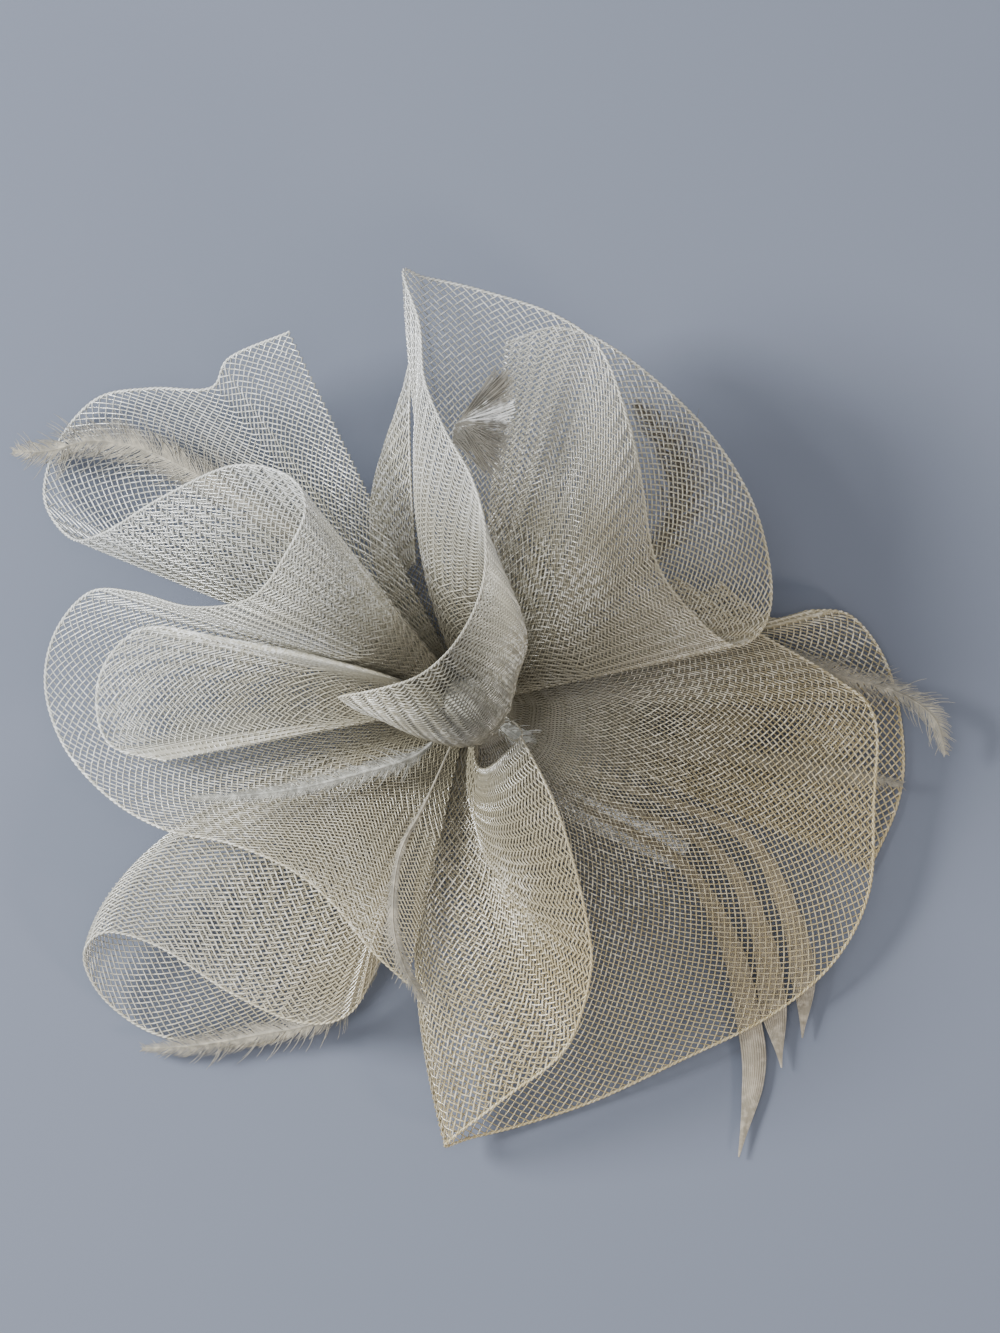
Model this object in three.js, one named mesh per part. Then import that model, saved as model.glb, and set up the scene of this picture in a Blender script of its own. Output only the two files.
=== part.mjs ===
// A hair fascinator of wide crin, a stiff see-through braid of nylon strands.
// Seven lengths of crin are gathered along one edge on a small sewn core. Their free edges stand
// and fall round it in loops, rolls and one tall whorl, with long feathers in between.
// Under the core lie a round felt base and a flat metal hair clip.
// The frame: +Z up from the head, +Y towards the tall horn of the crown loop, and the origin on
// the clip's underside, at the place on its long axis nearest to the core. Lengths are millimetres.

import * as THREE from "three";

// Driving dimensions
const crinWidth = 150; // of the braid, from the gathered edge to the free edge
const crinWall = 1.0; // of a loop, with the play of its crossed strands
const coreRadius = 8;
const coreHeight = 22;
const coreShoulder = 0.45; // height of its rounded top, as a share of its radius
const baseRadius = 21;
const baseThickness = 2.5;
const clipLength = 84;
const clipWidth = 11;
const clipPlate = 1.2; // thickness of each of the clip's two leaves
const clipSlot = 2.4; // between the leaves
const clipTail = 6; // how far the clip reaches back past the core
const clipHeading = -25; // degrees from +X
const clipAside = 14; // from the clip's long axis to the middle of the core
const seat = 0.35; // gap between pieces that are sewn or glued together
const rootGap = 0.6; // between the core and the gathered edge of a loop
const seam = 0.35; // between the two leaves that meet in a fold of a loop
const quillWidth = 1.6; // of a feather, where it leaves the core
const vaneWidth = 10; // of a feather at its broadest
const featherThickness = 0.9;
const vaneDroop = 0.12; // how far a vane's edges fall, as a share of its width

// Fineness of the faceted sheets
const stepsPerRow = 2;
const stepsPerRib = 7;
const stepsPerFeatherRow = 2;
const stepsPerShoulder = 5;
const stepsPerBend = 8;
const sidesOfRound = 32;

// Heights that follow from the stack of clip, base and core
const clipHeight = 2 * clipPlate + clipSlot;
const baseBottom = clipHeight + seat;
const coreBottom = baseBottom + baseThickness + seat;

const colours = {
  silver: 0xaeb3ad,
  warm: 0xa79f8e,
  feather: 0xcfc6b2,
  felt: 0xc9c6bd,
  metal: 0xb9bcc0,
  thread: 0xb4b3aa,
};

// The loops, feathers, core and base share the core's axis; the clip lies beside it.
const fascinator = new THREE.Group();
const blossom = new THREE.Group();
const heading = THREE.MathUtils.degToRad(clipHeading);
blossom.position.set(-clipAside * Math.sin(heading), clipAside * Math.cos(heading), 0);
fascinator.add(blossom);

function add(parent, name, geometry, colour, roughness, metalness = 0) {
  const material = new THREE.MeshStandardMaterial({
    color: colour,
    roughness,
    metalness,
    side: THREE.DoubleSide,
  });
  const mesh = new THREE.Mesh(geometry, material);
  mesh.name = name;
  parent.add(mesh);
}

// A closed wall of even thickness on both sides of rows first to last of a grid of points,
// grid[i][j]. Where it stops inside the grid, it stays half a seam short of its neighbour.
function wallOf(grid, thickness, first = 0, last = grid.length - 1) {
  const rows = last - first + 1;
  const columns = grid[0].length;
  const positions = [];
  const index = [];
  const along = new THREE.Vector3();
  const across = new THREE.Vector3();
  for (const side of [1, -1]) {
    for (let i = first; i <= last; i++) {
      let inward = 0;
      if (i === first && first > 0) inward = seam / 2;
      if (i === last && last < grid.length - 1) inward = -seam / 2;
      for (let j = 0; j < columns; j++) {
        const before = grid[Math.max(i - 1, 0)][j];
        const after = grid[Math.min(i + 1, grid.length - 1)][j];
        const inner = grid[i][Math.max(j - 1, 0)];
        const outer = grid[i][Math.min(j + 1, columns - 1)];
        along.subVectors(after, before).normalize();
        across.subVectors(outer, inner);
        const normal = across.cross(along).normalize();
        const p = grid[i][j].clone().addScaledVector(normal, (side * thickness) / 2);
        p.addScaledVector(along, inward);
        positions.push(p.x, p.y, p.z);
      }
    }
  }
  const upper = (i, j) => i * columns + j;
  const lower = (i, j) => rows * columns + i * columns + j;
  const quad = (a, b, c, d) => index.push(a, b, c, a, c, d);
  for (let i = 0; i < rows - 1; i++) {
    for (let j = 0; j < columns - 1; j++) {
      quad(upper(i, j), upper(i, j + 1), upper(i + 1, j + 1), upper(i + 1, j));
      quad(lower(i, j), lower(i + 1, j), lower(i + 1, j + 1), lower(i, j + 1));
    }
    quad(upper(i, 0), upper(i + 1, 0), lower(i + 1, 0), lower(i, 0));
    const rim = columns - 1;
    quad(upper(i, rim), lower(i, rim), lower(i + 1, rim), upper(i + 1, rim));
  }
  for (let j = 0; j < columns - 1; j++) {
    quad(upper(0, j), lower(0, j), lower(0, j + 1), upper(0, j + 1));
    const end = rows - 1;
    quad(upper(end, j), upper(end, j + 1), lower(end, j + 1), lower(end, j));
  }
  const geometry = new THREE.BufferGeometry();
  geometry.setAttribute("position", new THREE.Float32BufferAttribute(positions, 3));
  geometry.setIndex(index);
  geometry.computeVertexNormals();
  return geometry;
}

// A loop of crin. Each row is one rib of the braid, from the core to the free edge:
//   east, north, rise   where the rib ends, on the free edge
//   bow                 how far its middle stands above the straight line
//   pushEast, pushNorth how far its middle lies aside of the straight line
// all as shares of the crin's width, and
//   level               where it leaves the core, as a share of the core's height
function ribsOf(rows) {
  const rims = [];
  const bellies = [];
  const roots = [];
  for (const [east, north, rise, bow, pushEast, pushNorth, level] of rows) {
    const rim = new THREE.Vector3(east, north, rise).multiplyScalar(crinWidth);
    const push = new THREE.Vector3(pushEast, pushNorth, bow).multiplyScalar(crinWidth);
    const middle = rim.clone().multiplyScalar(0.5).add(push).setZ(0).normalize();
    const root = middle.multiplyScalar(coreRadius + rootGap);
    root.z = coreBottom + level * coreHeight;
    const belly = root.clone().add(rim).multiplyScalar(0.5).addScaledVector(push, 2);
    rims.push(rim);
    bellies.push(belly);
    roots.push(root);
  }
  return [roots, bellies, rims].map((points) => new THREE.CatmullRomCurve3(points, false, "catmullrom"));
}

function loopGrid(rows) {
  const [roots, bellies, rims] = ribsOf(rows);
  const steps = (rows.length - 1) * stepsPerRow;
  const grid = [];
  for (let i = 0; i <= steps; i++) {
    const u = i / steps;
    const root = roots.getPoint(u);
    const reach = (coreRadius + rootGap) / Math.hypot(root.x, root.y);
    root.set(root.x * reach, root.y * reach, root.z);
    const rib = new THREE.QuadraticBezierCurve3(root, bellies.getPoint(u), rims.getPoint(u));
    grid.push(rib.getPoints(stepsPerRib));
  }
  return grid;
}

// Adds a loop as its leaves. Each leaf is a name and the row that it ends on, which is the fold
// where the next one starts.
function addLoop(rows, colour, leaves) {
  const grid = loopGrid(rows);
  let first = 0;
  for (const [name, endRow] of leaves) {
    const last = endRow * stepsPerRow;
    add(blossom, name, wallOf(grid, crinWall, first, last), colour, 0.45);
    first = last;
  }
}

// The crown loop: its low outer dome, the turn at the right, the front of the dome, the horn
// and the whorl that stands over the core.
const crownRows = [
  [0.07, 0.72, 0.2, 0.09, 0, 0, 0.42],
  [0.18, 0.75, 0.2, 0.09, 0, 0, 0.42],
  [0.3, 0.7, 0.2, 0.09, 0, 0, 0.42],
  [0.46, 0.56, 0.2, 0.09, 0, 0, 0.42],
  [0.56, 0.41, 0.2, 0.09, 0, 0, 0.42],
  [0.6, 0.26, 0.21, 0.08, 0, 0, 0.43],
  [0.59, 0.16, 0.23, 0.07, 0, 0, 0.46],
  [0.53, 0.115, 0.27, 0.07, 0, 0, 0.52],
  [0.45, 0.17, 0.33, 0.09, 0, 0, 0.6],
  [0.37, 0.28, 0.4, 0.12, 0, 0, 0.64],
  [0.34, 0.44, 0.45, 0.13, 0, 0, 0.66],
  [0.31, 0.57, 0.46, 0.12, 0, 0, 0.67],
  [0.26, 0.7, 0.44, 0.11, 0, 0, 0.68],
  [0.17, 0.77, 0.43, 0.1, 0, 0, 0.69],
  [0.02, 0.82, 0.44, 0.09, 0, 0, 0.7],
  [-0.09, 0.845, 0.46, 0.08, 0, 0, 0.72],
  [-0.132, 0.855, 0.5, 0.08, -0.02, 0, 0.78],
  [-0.1, 0.75, 0.56, 0.07, -0.03, 0, 0.82],
  [-0.09, 0.64, 0.61, 0.06, -0.05, 0, 0.84],
  [-0.05, 0.54, 0.67, 0.05, -0.05, 0, 0.86],
  [0.005, 0.44, 0.74, 0.04, -0.02, 0, 0.88],
  [0.03, 0.34, 0.77, 0.03, 0.04, 0.01, 0.9],
  [0.025, 0.23, 0.77, 0.03, 0.08, 0, 0.91],
  [-0.02, 0.13, 0.73, 0.03, 0.08, -0.01, 0.92],
  [-0.09, 0.06, 0.66, 0.03, 0.055, -0.066, 0.93],
  [-0.17, 0.03, 0.59, 0.03, 0.015, -0.066, 0.94],
  [-0.26, 0.012, 0.5, 0.03, -0.01, -0.03, 0.94],
];

// The left loop: the pointed fold at the upper left, the open roll with its near edge high, the
// round left lobe and the sheet that falls from it over the lower left.
const leftRows = [
  [-0.36, 0.74, 0.28, 0.14, 0, 0, 0.2],
  [-0.48, 0.69, 0.2, 0.1, 0, 0, 0.2],
  [-0.52, 0.63, 0.15, 0.05, 0, 0, 0.2],
  [-0.64, 0.63, 0.1, 0.05, 0, 0, 0.2],
  [-0.75, 0.61, 0.05, 0.05, 0, 0, 0.2],
  [-0.83, 0.52, 0.01, 0.04, 0, 0, 0.21],
  [-0.855, 0.41, 0.05, 0.04, 0, 0, 0.22],
  [-0.8, 0.33, 0.13, 0.04, 0, 0, 0.26],
  [-0.73, 0.34, 0.23, 0.05, 0, 0, 0.3],
  [-0.61, 0.41, 0.36, 0.06, 0, 0, 0.34],
  [-0.47, 0.47, 0.49, 0.07, 0, 0, 0.38],
  [-0.36, 0.45, 0.58, 0.07, 0, 0, 0.42],
  [-0.325, 0.385, 0.61, 0.07, 0, 0, 0.48],
  [-0.36, 0.3, 0.59, 0.08, 0, 0, 0.54],
  [-0.43, 0.21, 0.53, 0.09, 0, 0, 0.57],
  [-0.55, 0.19, 0.43, 0.09, 0, 0, 0.58],
  [-0.67, 0.22, 0.31, 0.08, 0, 0, 0.58],
  [-0.76, 0.22, 0.22, 0.07, 0, 0, 0.58],
  [-0.83, 0.14, 0.17, 0.06, 0, 0, 0.58],
  [-0.85, 0.03, 0.16, 0.06, 0, 0, 0.58],
  [-0.81, -0.09, 0.18, 0.06, 0, 0, 0.58],
  [-0.72, -0.19, 0.21, 0.06, 0, 0, 0.58],
  [-0.61, -0.252, 0.24, 0.06, 0, 0, 0.58],
  [-0.48, -0.28, 0.25, 0.06, 0, 0, 0.58],
  [-0.354, -0.334, 0.26, 0.06, 0, 0, 0.58],
  [-0.27, -0.404, 0.26, 0.06, 0, 0, 0.58],
  [-0.2, -0.49, 0.25, 0.06, 0, 0, 0.58],
  [-0.125, -0.56, 0.24, 0.06, 0, 0, 0.6],
];

// A second, smaller loop that lies over the left lobe.
const innerLeftRows = [
  [-0.2, 0.065, 0.36, 0.08, 0, 0, 0.74],
  [-0.34, 0.1, 0.37, 0.08, 0, 0, 0.74],
  [-0.5, 0.13, 0.36, 0.08, 0, 0, 0.74],
  [-0.64, 0.15, 0.33, 0.08, 0, 0, 0.73],
  [-0.72, 0.09, 0.3, 0.08, 0, 0, 0.72],
  [-0.745, 0, 0.28, 0.08, 0, 0, 0.72],
  [-0.715, -0.085, 0.28, 0.08, 0, 0, 0.72],
  [-0.605, -0.115, 0.3, 0.08, 0, 0, 0.72],
];

// The open roll at the lower left.
const lowerLeftRows = [
  [-0.18, -0.51, 0.15, 0.06, -0.03, 0.01, 0.36],
  [-0.24, -0.62, 0.14, 0.06, -0.02, 0, 0.36],
  [-0.34, -0.64, 0.14, 0.06, 0, 0, 0.36],
  [-0.48, -0.58, 0.14, 0.05, -0.02, 0, 0.36],
  [-0.62, -0.49, 0.13, 0.05, -0.07, 0.01, 0.35],
  [-0.73, -0.46, 0.12, 0.04, -0.13, 0.02, 0.33],
  [-0.775, -0.51, 0.08, 0.03, -0.15, 0.02, 0.27],
  [-0.73, -0.6, 0.04, 0.02, -0.11, 0.01, 0.21],
  [-0.62, -0.67, 0.02, 0.02, -0.05, 0, 0.18],
  [-0.45, -0.69, 0.01, 0.02, 0, 0, 0.17],
  [-0.33, -0.655, 0.02, 0.02, 0, 0, 0.17],
  [-0.24, -0.6, 0.03, 0.02, 0, 0, 0.17],
];

// The lower right loop: the raised bottom tongue, its pointed corner and the broad low fan.
const lowerRightRows = [
  [0.1, -0.065, 0.42, 0, -0.03, -0.07, 0.8],
  [0.15, -0.16, 0.43, 0, -0.06, -0.1, 0.78],
  [0.19, -0.26, 0.42, 0, -0.07, -0.11, 0.75],
  [0.23, -0.42, 0.38, 0.01, -0.07, -0.1, 0.7],
  [0.24, -0.54, 0.33, 0.02, -0.05, -0.06, 0.65],
  [0.19, -0.69, 0.26, 0.04, -0.06, -0.03, 0.6],
  [0.07, -0.79, 0.19, 0.06, -0.1, 0, 0.55],
  [-0.02, -0.86, 0.13, 0.07, -0.09, 0.03, 0.47],
  [-0.05, -0.89, 0.08, 0.06, -0.075, 0.04, 0.38],
  [0, -0.875, 0.03, 0.05, -0.095, 0.04, 0.29],
  [0.1, -0.85, 0.012, 0.04, -0.04, 0.01, 0.24],
  [0.25, -0.8, 0.012, 0.03, 0, 0, 0.21],
  [0.42, -0.72, 0.03, 0.03, 0, 0, 0.2],
  [0.6, -0.63, 0.045, 0.03, 0, 0, 0.2],
  [0.73, -0.52, 0.055, 0.03, 0, 0, 0.2],
  [0.8, -0.38, 0.07, 0.03, 0, 0, 0.2],
  [0.81, -0.2, 0.1, 0.03, 0, 0, 0.2],
  [0.81, -0.03, 0.12, 0.03, 0, 0, 0.2],
  [0.73, 0.05, 0.12, 0.03, 0, 0, 0.2],
  [0.56, 0.15, 0.12, 0.03, 0, 0, 0.2],
  [0.41, 0.25, 0.12, 0.03, 0, 0, 0.2],
];

// The low translucent lobe at the right.
const rightRows = [
  [0.5, 0.24, 0.05, 0.02, 0, 0, 0.04],
  [0.6, 0.17, 0.05, 0.02, 0, 0, 0.04],
  [0.69, 0.185, 0.05, 0.02, 0, 0, 0.04],
  [0.77, 0.17, 0.04, 0.02, 0, 0, 0.04],
  [0.84, 0.07, 0.02, 0.02, 0, 0, 0.04],
  [0.87, -0.08, 0.01, 0.02, 0, 0, 0.04],
  [0.86, -0.2, 0.008, 0.02, 0, 0, 0.04],
  [0.8, -0.34, 0.008, 0.02, 0, 0, 0.04],
];

// The narrow rolled strip behind the whorl, at its left.
const backRows = [
  [-0.11, 0.74, 0.36, -0.03, -0.05, 0, 0.06],
  [-0.12, 0.61, 0.36, -0.07, -0.11, 0.02, 0.07],
  [-0.12, 0.5, 0.32, -0.06, -0.12, 0.03, 0.07],
  [-0.115, 0.38, 0.26, -0.045, -0.1, 0.02, 0.07],
  [-0.11, 0.28, 0.2, -0.03, -0.07, 0.01, 0.07],
];

addLoop(crownRows, colours.silver, [
  ["crown_dome", 7],
  ["crown_front", 16],
  ["crown_whorl", 26],
]);
addLoop(leftRows, colours.silver, [
  ["left_under", 7],
  ["left_roll", 12],
  ["left_lobe", 22],
  ["left_fall", 27],
]);
addLoop(innerLeftRows, colours.silver, [["inner_left_loop", 7]]);
addLoop(lowerLeftRows, colours.warm, [
  ["lower_left_top", 6],
  ["lower_left_under", 11],
]);
addLoop(lowerRightRows, colours.warm, [
  ["bottom_tongue", 8],
  ["low_fan", 20],
]);
addLoop(rightRows, colours.warm, [["right_loop", 7]]);
addLoop(backRows, colours.silver, [["back_strip", 4]]);

// A feather, as its vane's outline. Level is where its quill leaves the core, as a share of the
// core's height, and each row is a point further out on the shaft:
//   east, north, rise   as shares of the crin's width
//   vane                the vane's width there, as a share of vaneWidth, added to the quill's
function featherGrid({ level, rows }) {
  const points = rows.map(([east, north, rise]) => new THREE.Vector3(east, north, rise));
  points.forEach((point) => point.multiplyScalar(crinWidth));
  const quill = points[0].clone().setZ(0).setLength(coreRadius + rootGap);
  quill.z = coreBottom + level * coreHeight;
  const widths = rows.map(([, , , vane]) => new THREE.Vector3(vane, 0, 0));
  widths.unshift(new THREE.Vector3());
  const shaft = new THREE.CatmullRomCurve3([quill, ...points], false, "catmullrom");
  const vanes = new THREE.CatmullRomCurve3(widths, false, "catmullrom");
  const steps = rows.length * stepsPerFeatherRow;
  const grid = [];
  for (let i = 0; i <= steps; i++) {
    const u = i / steps;
    const centre = shaft.getPoint(u);
    const ahead = shaft.getTangent(u).setZ(0).normalize();
    const aside = new THREE.Vector3(-ahead.y, ahead.x, 0);
    const width = quillWidth + Math.max(vanes.getPoint(u).x, 0) * vaneWidth;
    aside.multiplyScalar(width / 2).setZ(-vaneDroop * width);
    const edge = (side) => new THREE.Vector3(side * aside.x, side * aside.y, aside.z).add(centre);
    grid.push([edge(1), centre, edge(-1)]);
  }
  return grid;
}

const feathers = {
  feather_far_left: {
    level: 0.28,
    rows: [
      [-0.2, 0.2, 0.17, 0.1],
      [-0.34, 0.33, 0.21, 0.5],
      [-0.6, 0.485, 0.17, 0.9],
      [-0.74, 0.525, 0.13, 0.8],
      [-0.85, 0.505, 0.1, 0.5],
      [-0.92, 0.506, 0.07, 0],
    ],
  },
  feather_top_curl: {
    level: 0.8,
    rows: [
      [0, 0.2, 0.31, 0],
      [-0.01, 0.35, 0.42, 0],
      [-0.03, 0.48, 0.5, 0.1],
      [-0.03, 0.55, 0.535, 0.6],
      [0.01, 0.56, 0.55, 1.6],
      [0.05, 0.555, 0.55, 2.6],
      [0.09, 0.55, 0.545, 3.2],
    ],
  },
  feather_right: {
    level: 0.12,
    rows: [
      [0.2, 0.04, 0.085, 0],
      [0.4, 0.08, 0.095, 0.2],
      [0.58, 0.1, 0.085, 0.5],
      [0.76, 0.05, 0.075, 0.6],
      [0.86, 0.02, 0.08, 0.6],
      [0.93, -0.03, 0.09, 0.5],
      [0.956, -0.105, 0.07, 0],
    ],
  },
  feather_biot_low: {
    level: 0.06,
    rows: [
      [0.2, -0.19, 0.052, 0],
      [0.42, -0.32, 0.055, 0.1],
      [0.52, -0.48, 0.045, 0.3],
      [0.56, -0.64, 0.025, 0.4],
      [0.57, -0.75, 0.018, 0.35],
      [0.54, -0.914, 0.012, 0],
    ],
  },
  feather_biot_middle: {
    level: 0.14,
    rows: [
      [0.235, -0.175, 0.074, 0],
      [0.48, -0.29, 0.064, 0.1],
      [0.58, -0.45, 0.055, 0.3],
      [0.61, -0.62, 0.028, 0.45],
      [0.626, -0.734, 0.018, 0],
    ],
  },
  feather_biot_high: {
    level: 0.06,
    rows: [
      [0.28, -0.155, 0.058, 0],
      [0.54, -0.26, 0.073, 0.1],
      [0.64, -0.42, 0.06, 0.3],
      [0.67, -0.56, 0.032, 0.4],
      [0.668, -0.674, 0.018, 0],
    ],
  },
  feather_bottom: {
    level: 0.76,
    rows: [
      [-0.09, -0.2, 0.27, 0],
      [-0.14, -0.3, 0.31, 0.1],
      [-0.154, -0.43, 0.31, 0.3],
      [-0.13, -0.53, 0.28, 0.3],
      [-0.084, -0.604, 0.24, 0],
    ],
  },
  feather_lower_left: {
    level: 0.27,
    rows: [
      [-0.14, -0.29, 0.105, 0],
      [-0.18, -0.52, 0.09, 0.2],
      [-0.28, -0.63, 0.065, 0.5],
      [-0.44, -0.67, 0.045, 0.6],
      [-0.56, -0.69, 0.04, 0.4],
      [-0.66, -0.695, 0.035, 0],
    ],
  },
  feather_over_left: {
    level: 0.73,
    rows: [
      [-0.1, -0.1, 0.24, 0.5],
      [-0.18, -0.13, 0.285, 0.6],
      [-0.34, -0.17, 0.33, 0.4],
      [-0.46, -0.185, 0.35, 0.2],
      [-0.56, -0.19, 0.36, 0],
    ],
  },
  feather_white_end: {
    level: 0.86,
    rows: [
      [0.06, -0.045, 0.205, 0.3],
      [0.09, -0.064, 0.235, 0.6],
      [0.112, -0.08, 0.255, 0.2],
    ],
  },
  feather_left_lobe: {
    level: 0.65,
    rows: [
      [-0.25, -0.02, 0.235, 0.1],
      [-0.42, -0.034, 0.255, 0.4],
      [-0.52, -0.054, 0.25, 0.5],
      [-0.61, -0.084, 0.245, 0],
    ],
  },
  feather_right_lobe: {
    level: 0.12,
    rows: [
      [0.18, -0.07, 0.08, 0],
      [0.49, -0.1, 0.09, 0.3],
      [0.7, -0.135, 0.07, 0.5],
      [0.87, -0.164, 0.05, 0],
    ],
  },
  feather_under_dome: {
    level: 0.3,
    rows: [
      [0.16, 0.15, 0.15, 0.1],
      [0.33, 0.26, 0.17, 0.5],
      [0.42, 0.38, 0.17, 0.9],
      [0.41, 0.5, 0.16, 0.9],
      [0.33, 0.6, 0.15, 0],
    ],
  },
};
for (const [name, feather] of Object.entries(feathers)) {
  add(blossom, name, wallOf(featherGrid(feather), featherThickness), colours.feather, 0.8);
}

// The sewn core: a stub of bound braid with a rounded top.
function coreGeometry() {
  const shoulder = coreRadius * coreShoulder;
  const outline = new THREE.Path();
  outline.moveTo(0, 0);
  outline.lineTo(coreRadius, 0);
  outline.lineTo(coreRadius, coreHeight - shoulder);
  outline.absellipse(0, coreHeight - shoulder, coreRadius, shoulder, 0, Math.PI / 2, false);
  const geometry = new THREE.LatheGeometry(outline.getPoints(stepsPerShoulder), sidesOfRound);
  geometry.rotateX(Math.PI / 2);
  geometry.translate(0, 0, coreBottom);
  return geometry;
}
add(blossom, "sewn_core", coreGeometry(), colours.thread, 0.8);

function discGeometry(radius, height, bottom) {
  const geometry = new THREE.CylinderGeometry(radius, radius, height, sidesOfRound);
  geometry.rotateX(Math.PI / 2);
  geometry.translate(0, 0, bottom + height / 2);
  return geometry;
}
add(blossom, "felt_base", discGeometry(baseRadius, baseThickness, baseBottom), colours.felt, 0.95);

// The clip: one flat strip bent back on itself, closed by its own spring.
function clipGeometry() {
  const outline = new THREE.Shape();
  const bend = clipHeight / 2;
  const inner = clipSlot / 2;
  outline.moveTo(clipLength, 0);
  outline.lineTo(clipLength, clipPlate);
  outline.lineTo(bend, clipPlate);
  outline.absarc(bend, bend, inner, -Math.PI / 2, Math.PI / 2, true);
  outline.lineTo(clipLength, clipHeight - clipPlate);
  outline.lineTo(clipLength, clipHeight);
  outline.lineTo(bend, clipHeight);
  outline.absarc(bend, bend, bend, Math.PI / 2, -Math.PI / 2, false);
  outline.lineTo(clipLength, 0);
  const geometry = new THREE.ExtrudeGeometry(outline, {
    depth: clipWidth,
    bevelEnabled: false,
    curveSegments: stepsPerBend,
  });
  geometry.rotateX(Math.PI / 2);
  geometry.translate(-clipTail, clipWidth / 2, 0);
  geometry.rotateZ(heading);
  return geometry;
}
add(fascinator, "hair_clip", clipGeometry(), colours.metal, 0.3, 0.9);

export default fascinator;
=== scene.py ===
"""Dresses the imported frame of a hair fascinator: its loops of crin, feathers, core, base and clip.

Crin is a stiff see-through braid of nylon strands. Lengths are metres, +Z is up from the head and
+Y points towards the tall horn of the crown loop.
"""

import math

import bmesh
import bpy
import numpy as np
from bpy.props import FloatProperty, FloatVectorProperty, IntProperty, PointerProperty
from mathutils import Matrix, Vector


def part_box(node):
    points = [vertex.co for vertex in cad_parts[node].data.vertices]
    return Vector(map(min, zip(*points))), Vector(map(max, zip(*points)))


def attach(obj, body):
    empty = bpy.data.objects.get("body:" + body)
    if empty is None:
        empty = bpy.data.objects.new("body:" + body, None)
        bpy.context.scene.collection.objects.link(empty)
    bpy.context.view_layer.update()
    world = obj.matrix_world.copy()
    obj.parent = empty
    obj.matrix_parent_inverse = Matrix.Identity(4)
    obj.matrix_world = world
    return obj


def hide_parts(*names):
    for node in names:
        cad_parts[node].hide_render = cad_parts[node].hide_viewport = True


bl_info = {
    "name": "Crin fascinator",
    "version": (1, 0, 0),
    "blender": (4, 5, 0),
    "location": "3D View > Sidebar > Fascinator",
    "description": "Builds the crin, feathers, core, felt and clip of a hair fascinator on its frame",
    "category": "Object",
}

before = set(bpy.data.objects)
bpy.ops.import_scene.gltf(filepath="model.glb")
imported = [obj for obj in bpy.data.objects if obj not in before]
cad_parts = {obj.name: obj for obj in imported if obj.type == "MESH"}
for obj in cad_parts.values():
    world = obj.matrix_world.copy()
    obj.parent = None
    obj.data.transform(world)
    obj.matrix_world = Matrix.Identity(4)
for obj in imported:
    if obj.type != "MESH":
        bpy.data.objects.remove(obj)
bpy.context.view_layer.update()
CORE_LOW, CORE_HIGH = (np.array(corner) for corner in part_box("sewn_core"))
BASE_LOW, BASE_HIGH = (np.array(corner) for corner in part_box("felt_base"))
CORE_AXIS = np.array([*((CORE_LOW + CORE_HIGH) / 2)[:2], 0.0])
CORE_RADIUS = (CORE_HIGH[0] - CORE_LOW[0]) / 2
CORE_HEIGHT = CORE_HIGH[2] - CORE_LOW[2]
CORE_SHOULDER = 0.45  # height of its rounded top, as a share of its radius

# The clip is one strip folded in two, and lies on the ground.
CLIP_PLATE = 0.0012  # thickness of each leaf
CLIP_SLOT = 0.0024  # between the leaves
CLIP_TAIL = 0.006  # how far it reaches back past the place beside the core
CLIP_LENGTH = 0.084
CLIP_WIDTH = 0.011
CLIP_HEADING = math.radians(-25)

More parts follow.
